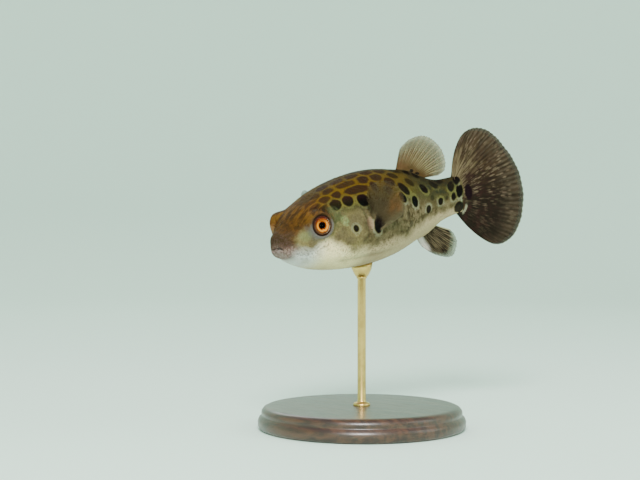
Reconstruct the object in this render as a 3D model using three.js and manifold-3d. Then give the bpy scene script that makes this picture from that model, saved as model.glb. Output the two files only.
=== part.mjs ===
// A freshwater pufferfish of the leopard kind, life size, as a still display model on a rod stand.
// The fish holds a gentle swimming pose: nose down, tail swept to its left, both pectoral fins up.
// Millimetres, +Z up, the origin under the middle of the stand's base. The head points to -X.
import * as THREE from "three";
import { mergeVertices } from "three/addons/utils/BufferGeometryUtils.js";
import Module from "manifold-3d";

const wasm = await Module();
wasm.setup();

// ---- Driving dimensions -------------------------------------------------------------------

const BODY_LENGTH = 75; // snout to the root of the tail fin
const SNOUT = -0.5; // the rounded front of the lips, ahead of station 0
const JOINT_GAP = 0.3; // the thin cut between two sub-parts
const LIPS_END = 1.4; // the lips, back to the crease behind them
const GILL_LINE = 27; // the head ends at the gill opening
const STALK_START = 57; // the tail stalk begins behind the belly

const NOSE_DOWN = THREE.MathUtils.degToRad(12.5);
const TAIL_SWEEP = THREE.MathUtils.degToRad(-26); // the tail's heading against the head's
const SWEEP_START = 36; // the spine is straight ahead of here
const SWEEP_END = 78;
const BALANCE_STATION = 37; // the station that stands over the rod
const FISH_HEIGHT = 64.5; // the spine at that station, above the floor

// Body sections along the spine. Top and bottom are measured from the spine, which runs
// through the middle of the tail stalk, and the section is widest at the height "widest".
// A squareness of 2 is an ellipse, and more is boxier.
const SECTIONS = [
  // station, half width, top, bottom, widest, squareness above and below
  [-0.4, 1.2, -0.4, -2.0, -1.2, 2.0, 2.0],
  [0.1, 2.5, 0.5, -2.8, -1.2, 2.2, 2.2],
  [0.95, 3.45, 1.85, -3.95, -1.2, 2.2, 2.2],
  [2.5, 4.8, 3.5, -5.2, -1.2, 2.2, 2.2],
  [5.0, 6.6, 5.6, -6.8, -1.2, 2.3, 2.2],
  [8.5, 8.5, 7.9, -8.6, -1.2, 2.5, 2.2],
  [12.5, 9.7, 9.8, -10.2, -1.3, 2.6, 2.2],
  [18.0, 10.6, 11.9, -11.6, -1.5, 2.6, 2.2],
  [26.0, 11.4, 13.7, -13.0, -2.0, 2.4, 2.1],
  [36.0, 12.0, 14.6, -13.8, -2.5, 2.1, 2.1],
  [46.0, 11.0, 13.9, -13.6, -2.0, 2.1, 2.0],
  [55.0, 8.7, 11.6, -12.0, -1.0, 2.0, 2.0],
  [63.0, 5.9, 8.0, -9.4, 0.0, 2.0, 2.0],
  [69.0, 4.0, 6.2, -7.2, 0.0, 2.0, 2.0],
  [75.0, 2.5, 6.1, -6.0, 0.0, 2.0, 2.0],
];

// Soft swellings of the skin, alike on both sides: where each one is centred, as a station and
// an angle down from the back, how far it reaches along and across, and how high it stands.
const SWELLINGS = [
  { name: "orbit", station: 10.4, angle: 68, along: 4.2, across: 4.2, height: 0.8 },
  { name: "brow", station: 10.2, angle: 48, along: 4.2, across: 2.2, height: 0.7 },
  { name: "nostril", station: 5.4, angle: 50, along: 0.9, across: 0.9, height: 0.5 },
  { name: "cheek", station: 17.0, angle: 108, along: 6.0, across: 6.0, height: 0.6 },
  { name: "shoulder of the pectoral fin", station: 30.2, angle: 86, along: 2.6, across: 3.2, height: 0.8 },
  { name: "root of the dorsal fin", station: 59.4, angle: 0, along: 5.0, across: 2.2, height: 1.0 },
  { name: "root of the anal fin", station: 62.0, angle: 180, along: 4.0, across: 2.0, height: 0.9 },
];
const LIP_ROLL = { station: 0.9, along: 0.8, height: 0.35 };
const LIP_CREASE = { station: 3.1, along: 0.9, height: -0.3 };

const EYE = { station: 10.4, side: 7.7, height: 3.4, radius: 3.4 }; // the eyeball's middle

// Fins fan out from their roots. A ray leaves its root at an angle above the tailward
// direction, in degrees, and turns a little along its length.
const DORSAL_RAYS = [
  // place in the fin, root station, angle, length, turn
  [0.0, 55.0, 80, 7.0, -16],
  [0.15, 56.2, 66, 11.4, -16],
  [0.35, 58.0, 53, 14.2, -12],
  [0.6, 60.3, 37, 14.0, -8],
  [0.8, 62.2, 21, 11.8, -6],
  [0.92, 63.4, 7, 9.2, -4],
  [1.0, 64.0, -2, 6.2, 0],
];
const ANAL_RAYS = [
  [0.0, 59.2, -72, 4.0, 16],
  [0.2, 60.5, -64, 9.4, 16],
  [0.5, 62.5, -55, 13.2, 12],
  [0.75, 64.3, -45, 12.2, 6],
  [0.9, 65.5, -36, 10.0, 4],
  [1.0, 66.3, -24, 6.0, 0],
];
const CAUDAL_RAYS = [
  // place in the fin, root height, angle, length, turn
  [0.0, 6.1, 90, 8.6, -24],
  [0.08, 5.5, 78, 15.8, -26],
  [0.2, 4.0, 58, 20.8, -22],
  [0.35, 2.0, 33, 22.8, -12],
  [0.5, 0.0, 8, 24.4, 0],
  [0.65, -2.0, -17, 24.8, 6],
  [0.8, -4.0, -41, 23.4, 14],
  [0.92, -5.4, -59, 18.0, 22],
  [1.0, -6.0, -67, 8.0, 22],
];
// The pectoral fins' rays end at a tip given from the root: tailward, outward and up.
const LEFT_PECTORAL_RAYS = [
  // place in the fin, root station, root height, tip tailward, outward, up
  [0.0, 29.4, 1.8, -3.2, 1.8, 6.2],
  [0.25, 29.6, 0.8, -2.4, 3.0, 11.2],
  [0.5, 29.9, -0.3, 3.6, 4.0, 12.4],
  [0.75, 30.3, -1.4, 8.6, 4.2, 9.4],
  [1.0, 30.7, -2.6, 8.8, 3.6, 3.8],
];
const RIGHT_PECTORAL_RAYS = [
  [0.0, 29.4, 1.8, -2.6, 1.8, 5.0],
  [0.25, 29.6, 0.8, -2.4, 3.4, 8.8],
  [0.5, 29.9, -0.3, 1.2, 4.6, 10.8],
  [0.75, 30.3, -1.4, 5.6, 4.4, 7.6],
  [1.0, 30.7, -2.6, 6.2, 3.6, 3.4],
];
const FIN_EDGE = 0.55; // thickness at the ray tips
const FIN_ROOT = 1.1; // added thickness at the root of a small fin
const TAIL_ROOT = 3.4; // added thickness where the tail fin leaves the stalk
const ROOT_FADE = 2.4; // how fast the root thins out along a ray
const ROOT_DEPTH = 1.6; // how far a fin starts inside the body, before it is cut back
const PECTORAL_BULGE = 0.8; // how far the pectoral blade bows outward

const STAND = { baseRadius: 32, baseHeight: 7, chamfer: 1.5, rodRadius: 1.3 };
const CUP = { radius: 3.4, foot: 1.9, height: 3.4 }; // the pad that the belly rests on

// ---- The body's surface -------------------------------------------------------------------

// Values at x on a smooth curve through the rows of a table, whose first column is x.
function along(table, x) {
  const last = table.length - 1;
  const slope = (i, k) => {
    const a = table[Math.max(i - 1, 0)];
    const b = table[Math.min(i + 1, last)];
    return (b[k] - a[k]) / (b[0] - a[0]);
  };
  const at = Math.min(Math.max(x, table[0][0]), table[last][0]);
  let i = 0;
  while (i < last - 1 && table[i + 1][0] <= at) i += 1;
  const h = table[i + 1][0] - table[i][0];
  const u = (at - table[i][0]) / h;
  return table[0].slice(1).map((_, column) => {
    const k = column + 1;
    return (
      (1 + 2 * u) * (1 - u) ** 2 * table[i][k] +
      u * (1 - u) ** 2 * h * slope(i, k) +
      u * u * (3 - 2 * u) * table[i + 1][k] +
      u * u * (u - 1) * h * slope(i + 1, k)
    );
  });
}

function heading(station) {
  const t = THREE.MathUtils.clamp((station - SWEEP_START) / (SWEEP_END - SWEEP_START), 0, 1);
  return TAIL_SWEEP * t * t * (3 - 2 * t);
}

// The spine from the nose to past the tail fin's edge, walked in short steps.
const SPINE_STEP = 0.25;
const SPINE_LENGTH = 110;
const spine = [new THREE.Vector2(0, 0)];
for (let k = 1; k <= SPINE_LENGTH / SPINE_STEP; k += 1) {
  const turn = heading((k - 0.5) * SPINE_STEP);
  const step = new THREE.Vector2(Math.cos(turn), Math.sin(turn)).multiplyScalar(SPINE_STEP);
  spine.push(spine[k - 1].clone().add(step));
}
function spineAt(station) {
  const k = THREE.MathUtils.clamp(station / SPINE_STEP, 0, spine.length - 1.001);
  const low = Math.floor(k);
  return spine[low].clone().lerp(spine[low + 1], k - low);
}
const balance = spineAt(BALANCE_STATION);

// A point of the straight fish, set on the swept spine. Left is the fish's own left, -Y.
function placed(station, left, height) {
  const beyondNose = Math.min(station, 0);
  const centre = spineAt(station).sub(balance);
  const turn = heading(station);
  return new THREE.Vector3(
    centre.x + beyondNose + left * Math.sin(turn),
    centre.y - left * Math.cos(turn),
    height,
  );
}

// A point of the plain section at an angle down from the back, positive to the left.
function sectionPoint(station, angle) {
  const [width, top, bottom, widest, above, below] = along(SECTIONS, station);
  const c = Math.cos(angle);
  const s = Math.sin(angle);
  const power = 2 / (c >= 0 ? above : below);
  const reach = c >= 0 ? top - widest : widest - bottom;
  return {
    left: width * Math.sign(s) * Math.abs(s) ** power,
    height: widest + reach * Math.sign(c) * Math.abs(c) ** power,
    widest,
  };
}

const swellings = SWELLINGS.map((swelling) => ({
  ...swelling,
  ...sectionPoint(swelling.station, THREE.MathUtils.degToRad(swelling.angle)),
  rise: swelling.height,
}));
function relief(station, point) {
  const ring = ({ station: at, along: reach, height }) =>
    height * Math.exp(-(((station - at) / reach) ** 2));
  return swellings.reduce((sum, it) => {
    const far = (station - it.station) / it.along;
    const across = Math.hypot(Math.abs(point.left) - it.left, point.height - it.height) / it.across;
    return sum + it.rise * Math.exp(-far * far - across * across);
  }, ring(LIP_ROLL) + ring(LIP_CREASE));
}

// The finished skin, grown outward by extra.
function skinPoint(station, angle, extra = 0) {
  const point = sectionPoint(station, angle);
  const outward = new THREE.Vector2(point.left, point.height - point.widest).normalize();
  const grow = relief(station, point) + extra;
  return placed(station, point.left + outward.x * grow, point.height + outward.y * grow);
}

// ---- From points to closed solids ---------------------------------------------------------

// A closed geometry from rows of points, each row a closed loop, capped at both ends.
function loft(rows) {
  const around = rows[0].length;
  const vertices = rows.flat().flatMap((p) => [p.x, p.y, p.z]);
  const middle = (row) => row.reduce((sum, p) => sum.add(p), new THREE.Vector3()).divideScalar(around);
  const first = middle(rows[0]);
  const last = middle(rows[rows.length - 1]);
  vertices.push(first.x, first.y, first.z, last.x, last.y, last.z);
  const firstCap = rows.length * around;
  const faces = [];
  for (let j = 0; j < around; j += 1) {
    const next = (j + 1) % around;
    for (let i = 0; i < rows.length - 1; i += 1) {
      const a = i * around + j;
      const b = i * around + next;
      faces.push(a, a + around, b, b, a + around, b + around);
    }
    const end = (rows.length - 1) * around;
    faces.push(firstCap, j, next, firstCap + 1, end + next, end + j);
  }
  const geometry = new THREE.BufferGeometry();
  geometry.setAttribute("position", new THREE.Float32BufferAttribute(vertices, 3));
  geometry.setIndex(faces);
  return geometry;
}

function solid(geometry) {
  const bare = geometry.clone();
  bare.deleteAttribute("normal");
  bare.deleteAttribute("uv");
  const merged = mergeVertices(bare, 1e-4);
  const made = (triVerts) =>
    new wasm.Manifold(
      new wasm.Mesh({
        numProp: 3,
        vertProperties: merged.attributes.position.array,
        triVerts,
      }),
    );
  const triangles = new Uint32Array(merged.index.array);
  const facing = made(triangles);
  return facing.volume() > 0 ? facing : made(triangles.reverse());
}

function geometryOf(manifold) {
  const mesh = manifold.getMesh();
  const geometry = new THREE.BufferGeometry();
  geometry.setAttribute("position", new THREE.BufferAttribute(mesh.vertProperties, 3));
  geometry.setIndex(new THREE.BufferAttribute(mesh.triVerts, 1));
  return geometry;
}

const AROUND = 36;
function bodyLength(from, to, rings, extra = 0) {
  const rows = [];
  for (let i = 0; i <= rings; i += 1) {
    const station = THREE.MathUtils.lerp(from, to, i / rings);
    const row = [];
    for (let j = 0; j < AROUND; j += 1) row.push(skinPoint(station, (2 * Math.PI * j) / AROUND, extra));
    rows.push(row);
  }
  return solid(loft(rows));
}

// ---- Head, trunk and tail stalk -----------------------------------------------------------

function eyeball(side, radius) {
  const centre = placed(EYE.station, side * EYE.side, EYE.height);
  return new THREE.SphereGeometry(radius, 20, 12).rotateX(Math.PI / 2).translate(centre.x, centre.y, centre.z);
}

const lips = bodyLength(SNOUT, LIPS_END, 5);
const mouthHeight = SECTIONS[0][4];
function halfSpace(sign) {
  const size = 40;
  const box = new THREE.BoxGeometry(size, size, size);
  const shift = mouthHeight + sign * (size / 2 + JOINT_GAP / 2);
  return solid(box.translate(placed(0, 0, 0).x, 0, shift));
}
const upperLip = lips.intersect(halfSpace(1));
const lowerLip = lips.intersect(halfSpace(-1));

const sockets = [1, -1].map((side) => solid(eyeball(side, EYE.radius + JOINT_GAP)));
const head = sockets.reduce(
  (cut, socket) => cut.subtract(socket),
  bodyLength(LIPS_END + JOINT_GAP, GILL_LINE, 24),
);
const trunk = bodyLength(GILL_LINE + JOINT_GAP, STALK_START, 16);
const tailStalk = bodyLength(STALK_START + JOINT_GAP, BODY_LENGTH, 10);
const clearance = bodyLength(SNOUT, BODY_LENGTH, 50, JOINT_GAP); // what the fins and the cup keep off

// ---- Fins ---------------------------------------------------------------------------------

// A blade of closed sections, one for each ray. It is told where the middle of the blade
// lies at a place across the fin and along the ray, and how far it stands off to each side.
function blade(raySteps, lengthSteps, middle, offset) {
  const rows = [];
  for (let i = 0; i <= raySteps; i += 1) {
    const out = [];
    const back = [];
    for (let k = 0; k <= lengthSteps; k += 1) {
      const across = i / raySteps;
      const reach = k / lengthSteps;
      out.push(middle(across, reach).add(offset(across, reach)));
      back.unshift(middle(across, reach).sub(offset(across, reach)));
    }
    rows.push([...out, ...back]);
  }
  return solid(loft(rows));
}

const halfThickness = (distance, root) => (FIN_EDGE + root * Math.exp(-Math.max(distance, 0) / ROOT_FADE)) / 2;

// A ray in the fish's middle plane, as an arc. A negative start reaches into the body.
function rayPoint(rootStation, rootHeight, [angle, length, turn], reach, start) {
  const distance = start + (length - start) * reach;
  const bend = THREE.MathUtils.degToRad(angle + (turn * distance) / length / 2);
  return {
    station: rootStation + distance * Math.cos(bend),
    height: rootHeight + distance * Math.sin(bend),
    distance,
  };
}

function medianFin(rays, edgeColumn) {
  const at = (across, reach) => {
    const [rootStation, ...ray] = along(rays, across);
    const rootHeight = along(SECTIONS, rootStation)[edgeColumn];
    return rayPoint(rootStation, rootHeight, ray, reach, -ROOT_DEPTH);
  };
  const middle = (across, reach) => {
    const { station, height } = at(across, reach);
    return placed(station, 0, height);
  };
  const offset = (across, reach) => {
    const { station, height, distance } = at(across, reach);
    return placed(station, halfThickness(distance, FIN_ROOT), height).sub(placed(station, 0, height));
  };
  return blade(12, 6, middle, offset).subtract(clearance);
}
const TOP_COLUMN = 1;
const BOTTOM_COLUMN = 2;
const dorsalFin = medianFin(DORSAL_RAYS, TOP_COLUMN);
const analFin = medianFin(ANAL_RAYS, BOTTOM_COLUMN);

function caudalAt(across, reach) {
  const [rootHeight, ...ray] = along(CAUDAL_RAYS, across);
  return rayPoint(BODY_LENGTH + JOINT_GAP, rootHeight, ray, reach, 0);
}
const caudalFin = blade(
  20,
  8,
  (across, reach) => {
    const { station, height } = caudalAt(across, reach);
    return placed(station, 0, height);
  },
  (across, reach) => {
    const { station, height, distance } = caudalAt(across, reach);
    const edge = Math.sqrt(Math.sin(Math.PI * THREE.MathUtils.clamp(across, 0.04, 0.96)));
    const half = halfThickness(distance, TAIL_ROOT * edge);
    return placed(station, half, height).sub(placed(station, 0, height));
  },
);

function flankWidth(station, height) {
  const [width, top, bottom, widest, above, below] = along(SECTIONS, station);
  const upper = height >= widest;
  const share = Math.min(Math.abs(height - widest) / (upper ? top - widest : widest - bottom), 1);
  const power = upper ? above : below;
  return width * (1 - share ** power) ** (1 / power);
}
function pectoralFin(rays, side) {
  const middle = (across, reach) => {
    const [station, height, tailward, outward, up] = along(rays, across);
    const root = flankWidth(station, height) - ROOT_DEPTH / 2;
    const bulge = PECTORAL_BULGE * Math.sin(Math.PI * reach);
    return placed(station + tailward * reach, side * (root + outward * reach + bulge), height + up * reach);
  };
  const probe = 0.02;
  const offset = (across, reach) => {
    const here = middle(across, reach);
    const low = Math.min(across, 1 - probe);
    const acrossFin = middle(low + probe, reach).sub(middle(low, reach));
    const outFrom = Math.min(reach, 1 - probe);
    const alongRay = middle(across, outFrom + probe).sub(middle(across, outFrom));
    const distance = here.distanceTo(middle(across, 0));
    return acrossFin.cross(alongRay).setLength(halfThickness(distance, FIN_ROOT));
  };
  return blade(10, 6, middle, offset).subtract(clearance);
}

// ---- Stand --------------------------------------------------------------------------------

const { baseRadius, baseHeight, chamfer, rodRadius } = STAND;
const base = new THREE.LatheGeometry(
  [
    [0, 0],
    [baseRadius - chamfer / 2, 0],
    [baseRadius, chamfer / 2],
    [baseRadius, baseHeight - chamfer],
    [baseRadius - chamfer, baseHeight],
    [0, baseHeight],
  ].map(([r, z]) => new THREE.Vector2(r, z)),
  48,
).rotateX(Math.PI / 2);

// The cup's mouth follows the belly, which comes down to bellyHeight over the rod.
const pitched = new THREE.Matrix4().makeRotationY(-NOSE_DOWN).setPosition(0, 0, FISH_HEIGHT);
const belly = skinPoint(BALANCE_STATION - 3, Math.PI).applyMatrix4(pitched);
const cupFoot = Math.floor(belly.z) - CUP.height;
const cup = new THREE.LatheGeometry(
  [
    [0, 0],
    [CUP.foot, 0],
    [CUP.radius, CUP.height],
    [CUP.radius, 2 * CUP.height],
    [0, 2 * CUP.height],
  ].map(([r, z]) => new THREE.Vector2(r, z)),
  28,
)
  .rotateX(Math.PI / 2)
  .translate(0, 0, cupFoot);
const cupSolid = solid(cup).subtract(solid(geometryOf(clearance).applyMatrix4(pitched)));

const rodLength = cupFoot - baseHeight;
const rod = new THREE.CylinderGeometry(rodRadius, rodRadius, rodLength, 24)
  .rotateX(Math.PI / 2)
  .translate(0, 0, baseHeight + rodLength / 2);

// ---- The scene graph ----------------------------------------------------------------------

const finish = (color, roughness, metalness = 0) => new THREE.MeshStandardMaterial({ color, roughness, metalness });
const skin = finish(0x8a7a52, 0.45);
const lipSkin = finish(0x7c6a5a, 0.5);
const paleFin = finish(0xa8977a, 0.5);
const darkFin = finish(0x4a3b31, 0.5);
const eyeFinish = finish(0xd9702e, 0.1);
const wood = finish(0x33231a, 0.4);
const brass = finish(0xb59a5c, 0.3, 1);

function node(name, geometry, material) {
  const mesh = new THREE.Mesh(geometry, material);
  mesh.name = name;
  return mesh;
}

const fish = new THREE.Group();
fish.rotation.y = -NOSE_DOWN;
fish.position.z = FISH_HEIGHT;
fish.add(
  node("upper_lip", geometryOf(upperLip), lipSkin),
  node("lower_lip", geometryOf(lowerLip), lipSkin),
  node("head", geometryOf(head), skin),
  node("trunk", geometryOf(trunk), skin),
  node("tail_stalk", geometryOf(tailStalk), skin),
  node("eye_left", eyeball(1, EYE.radius), eyeFinish),
  node("eye_right", eyeball(-1, EYE.radius), eyeFinish),
  node("dorsal_fin", geometryOf(dorsalFin), paleFin),
  node("anal_fin", geometryOf(analFin), darkFin),
  node("caudal_fin", geometryOf(caudalFin), darkFin),
  node("pectoral_fin_left", geometryOf(pectoralFin(LEFT_PECTORAL_RAYS, 1)), paleFin),
  node("pectoral_fin_right", geometryOf(pectoralFin(RIGHT_PECTORAL_RAYS, -1)), paleFin),
);

const model = new THREE.Group();
model.add(
  fish,
  node("stand_base", base, wood),
  node("stand_rod", rod, brass),
  node("stand_cup", geometryOf(cupSolid), brass),
);

export default model;
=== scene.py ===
import math

import bmesh
import bpy
import numpy as np
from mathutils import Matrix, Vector
from mathutils.bvhtree import BVHTree


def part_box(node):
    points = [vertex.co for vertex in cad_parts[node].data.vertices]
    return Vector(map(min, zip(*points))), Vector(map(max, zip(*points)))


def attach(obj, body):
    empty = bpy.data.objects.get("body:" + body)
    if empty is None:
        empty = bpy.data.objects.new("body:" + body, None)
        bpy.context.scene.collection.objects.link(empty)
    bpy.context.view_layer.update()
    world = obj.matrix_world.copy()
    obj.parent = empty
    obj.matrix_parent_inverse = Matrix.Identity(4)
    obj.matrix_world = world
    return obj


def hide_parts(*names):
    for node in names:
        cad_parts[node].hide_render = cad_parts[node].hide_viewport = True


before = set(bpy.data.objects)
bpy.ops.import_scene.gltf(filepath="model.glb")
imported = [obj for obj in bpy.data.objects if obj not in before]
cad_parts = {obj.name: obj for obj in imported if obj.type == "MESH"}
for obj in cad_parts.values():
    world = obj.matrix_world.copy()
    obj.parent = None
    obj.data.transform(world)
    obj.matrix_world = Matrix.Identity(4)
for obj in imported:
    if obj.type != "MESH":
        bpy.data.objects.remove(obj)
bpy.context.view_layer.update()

# ---- The skin ---------------------------------------------------------------------------------
# The fish has no scales: one tough, finely grained skin runs from inside the closed lips to the
# root of the tail fin. It is laid out as rings along a spine that bends in the tail, and each
# point keeps its station along the spine and its angle down from the back, for the markings.

MM = 0.001
NOSE_DOWN = math.radians(12.5)
TAIL_SWEEP = math.radians(-26)
SWEEP_START, SWEEP_END = 36.0, 78.0  # stations, in mm behind the snout
BALANCE_STATION = 37.0  # stands over the rod
FISH_HEIGHT = 64.5  # the spine there, above the floor
BODY_LENGTH = 75.0

MOUTH_LINE = -1.2
BODY_SECTIONS = [
    # ring, station, half width, top, bottom, widest height, squareness above and below
    (-3.4, 2.6, 0.5, -1.17, -1.23, MOUTH_LINE, 2.0, 2.0),
    (-2.6, 1.9, 1.6, -1.16, -1.24, MOUTH_LINE, 2.0, 2.0),
    (-1.8, 1.1, 2.05, -1.15, -1.25, MOUTH_LINE, 2.0, 2.0),
    (-1.1, 0.55, 2.15, -1.14, -1.26, MOUTH_LINE, 2.0, 2.0),
    (-0.6, 0.12, 2.3, -1.05, -1.35, MOUTH_LINE, 2.0, 2.0),
    (-0.1, -0.1, 2.55, -0.42, -2.05, MOUTH_LINE, 2.1, 2.1),
    (0.4, 0.35, 2.95, 0.75, -3.1, MOUTH_LINE, 2.2, 2.2),
    (0.9, 0.95, 3.45, 1.85, -3.95, MOUTH_LINE, 2.2, 2.2),
    (2.5, 2.5, 4.8, 3.5, -5.2, -1.2, 2.2, 2.2),
    (5.0, 5.0, 6.6, 5.6, -6.8, -1.2, 2.3, 2.2),
    (8.5, 8.5, 8.5, 7.9, -8.6, -1.2, 2.5, 2.2),
    (12.5, 12.5, 9.7, 9.8, -10.2, -1.3, 2.6, 2.2),
    (18.0, 18.0, 10.6, 11.9, -11.6, -1.5, 2.6, 2.2),
    (26.0, 26.0, 11.4, 13.7, -13.0, -2.0, 2.4, 2.1),
    (36.0, 36.0, 12.0, 14.6, -13.8, -2.5, 2.1, 2.1),
    (46.0, 46.0, 11.0, 13.9, -13.6, -2.0, 2.1, 2.0),
    (55.0, 55.0, 8.7, 11.6, -12.0, -1.0, 2.0, 2.0),
    (63.0, 63.0, 5.9, 8.0, -9.4, 0.0, 2.0, 2.0),
    (69.0, 69.0, 4.0, 6.2, -7.2, 0.0, 2.0, 2.0),
    (75.0, 75.0, 2.5, 6.1, -6.0, 0.0, 2.0, 2.0),
    (76.4, 76.4, 1.75, 6.1, -6.0, 0.0, 2.0, 2.0),
    (77.7, 77.7, 0.85, 5.6, -5.5, 0.0, 2.0, 2.0),
    (78.6, 78.6, 0.06, 4.6, -4.5, 0.0, 2.0, 2.0),
]
# How far apart the rings lie along the body, closest where the face has its detail.
RING_STEPS = [(-3.4, 0.13), (0.9, 0.12), (5.5, 0.14), (7.4, 0.1), (14.6, 0.1)]
RING_STEPS += [(19.0, 0.2), (27.0, 0.27), (78.6, 0.32)]
EYE_SECTOR = (40.0, 95.0)  # the degrees down from the back that hold the eyes
EYE_SECTOR_STEP = 1.0
OPEN_SECTOR_STEP = 1.9


def along(table, x):
    """Values at x on a smooth curve through the rows of a table, whose first column is x."""
    rows = np.array(table, float)
    knots, values = rows[:, 0], rows[:, 1:]
    slopes = np.empty_like(values)
    slopes[1:-1] = (values[2:] - values[:-2]) / (knots[2:] - knots[:-2])[:, None]
    slopes[0] = (values[1] - values[0]) / (knots[1] - knots[0])
    slopes[-1] = (values[-1] - values[-2]) / (knots[-1] - knots[-2])
    at = np.clip(np.asarray(x, float), knots[0], knots[-1])
    i = np.clip(np.searchsorted(knots, at, side="right") - 1, 0, len(knots) - 2)
    gap = (knots[i + 1] - knots[i])[..., None]
    u = (at[..., None] - knots[i][..., None]) / gap
    return (
        (1 + 2 * u) * (1 - u) ** 2 * values[i]
        + u * (1 - u) ** 2 * gap * slopes[i]
        + u * u * (3 - 2 * u) * values[i + 1]
        + u * u * (u - 1) * gap * slopes[i + 1]
    )


def heading(station):
    t = np.clip((station - SWEEP_START) / (SWEEP_END - SWEEP_START), 0, 1)
    return TAIL_SWEEP * t * t * (3 - 2 * t)


SPINE_STEP = 0.25
spine_stations = np.arange(0, 110, SPINE_STEP)
spine_turns = heading(spine_stations[:-1] + SPINE_STEP / 2)
spine_x = np.concatenate([[0], np.cumsum(np.cos(spine_turns))]) * SPINE_STEP
spine_y = np.concatenate([[0], np.cumsum(np.sin(spine_turns))]) * SPINE_STEP
balance_x = np.interp(BALANCE_STATION, spine_stations, spine_x)
balance_y = np.interp(BALANCE_STATION, spine_stations, spine_y)


def placed(station, left, height):
    """Points of the straight fish, in mm, set on the bent spine and tipped nose down, in metres."""
    station, left, height = np.broadcast_arrays(*(np.asarray(v, float) for v in (station, left, height)))
    turn = heading(station)
    x = np.interp(station, spine_stations, spine_x) - balance_x + np.minimum(station, 0) + left * np.sin(turn)
    y = np.interp(station, spine_stations, spine_y) - balance_y - left * np.cos(turn)
    tipped_x = x * math.cos(NOSE_DOWN) - height * math.sin(NOSE_DOWN)
    tipped_z = x * math.sin(NOSE_DOWN) + height * math.cos(NOSE_DOWN)
    return np.stack([tipped_x, y, tipped_z + FISH_HEIGHT], -1) * MM


def section(ring, angle):
    """Station, left, height and the widest height of the plain body, at radians down from the back."""
    station, width, top, bottom, widest, above, below = np.moveaxis(along(BODY_SECTIONS, ring), -1, 0)
    c, s = np.cos(angle), np.sin(angle)
    power = 2 / np.where(c >= 0, above, below)
    reach = np.where(c >= 0, top - widest, widest - bottom)
    left = width * np.sign(s) * np.abs(s) ** power
    return station, left, widest + reach * np.sign(c) * np.abs(c) ** power, widest


def bump_shape(x):
    return np.exp(-x * x)


def smooth(x, low, high):
    t = np.clip((x - low) / (high - low), 0, 1)
    return t * t * (3 - 2 * t)


ring_list = [BODY_SECTIONS[0][0]]
while ring_list[-1] < BODY_SECTIONS[-1][0]:
    ring_list.append(ring_list[-1] + float(along(RING_STEPS, ring_list[-1])[0]))
ring_list[-1] = BODY_SECTIONS[-1][0]
sector_edges = [0, EYE_SECTOR[0], EYE_SECTOR[1], 180]
half_turn = []
for low, high in zip(sector_edges, sector_edges[1:]):
    step = EYE_SECTOR_STEP if low == EYE_SECTOR[0] else OPEN_SECTOR_STEP
    half_turn += list(np.linspace(low, high, round((high - low) / step), endpoint=False))
half_turn = np.array(half_turn)
turn_list = np.concatenate([half_turn, [180], 360 - half_turn[:0:-1]])
RING, TURN = np.meshgrid(np.array(ring_list), np.radians(turn_list), indexing="ij")
STATION, LEFT, HEIGHT, WIDEST = section(RING, TURN)
DOWN = np.degrees(np.arccos(np.cos(TURN)))  # 0 at the back and 180 at the belly, on both sides
HALF_WAY = len(half_turn)  # the belly's place in a ring

# How far each point lies round the body from the back, in mm: down the left side, and back up
# the right side as a negative number.
ring_gaps = np.hypot(np.diff(LEFT, axis=1), np.diff(HEIGHT, axis=1))
AROUND = np.concatenate([np.zeros((len(ring_list), 1)), np.cumsum(ring_gaps, axis=1)], axis=1)
AROUND[:, HALF_WAY + 1:] -= 2 * AROUND[:, HALF_WAY:HALF_WAY + 1]

# Soft swellings, alike on both sides: station, degrees down from the back, reach along and
# across, and height, in mm.
SWELLINGS = [
    (9.6, 44, 4.6, 2.4, 0.75),  # brow
    (15.6, 60, 3.0, 3.4, 0.25),  # behind the eye
    (6.0, 84, 3.0, 3.0, 0.35),  # muzzle
    (17.5, 112, 6.0, 6.5, 0.65),  # cheek
    (25.2, 84, 2.2, 5.0, 0.3),  # gill cover
    (30.2, 88, 2.4, 3.4, 0.95),  # shoulder of the pectoral fin
    (59.6, 0, 5.2, 2.0, 1.15),  # root of the dorsal fin
    (62.4, 180, 4.6, 1.9, 1.0),  # root of the anal fin
]
LIP_ROLL = (0.5, 1.0, 0.3)  # station, reach and height
LIP_CREASE = (2.9, 0.8, -0.14)
GILL_SLIT = {"station": 27.3, "curve": 1.1, "middle": 85, "span": 15, "reach": 0.42, "depth": 0.95}
BELLY_FOLD = {"down": 131, "reach": 3.2, "from": 13, "to": 44, "depth": 0.22}


def reach_down_to(down):
    """The way round from the back to an angle down from it, on every ring, in mm."""
    downs = np.broadcast_to(np.abs(down), len(ring_list))
    half_rings = zip(downs, AROUND[:, :HALF_WAY + 1])
    turns = np.append(half_turn, 180)
    return np.sign(np.mean(down)) * np.array([[np.interp(at, turns, ring)] for at, ring in half_rings])


def across_mm(middle):
    """How far each point lies round the body from an angle down from the back, in mm."""
    return np.abs(AROUND) - reach_down_to(middle)


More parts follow.
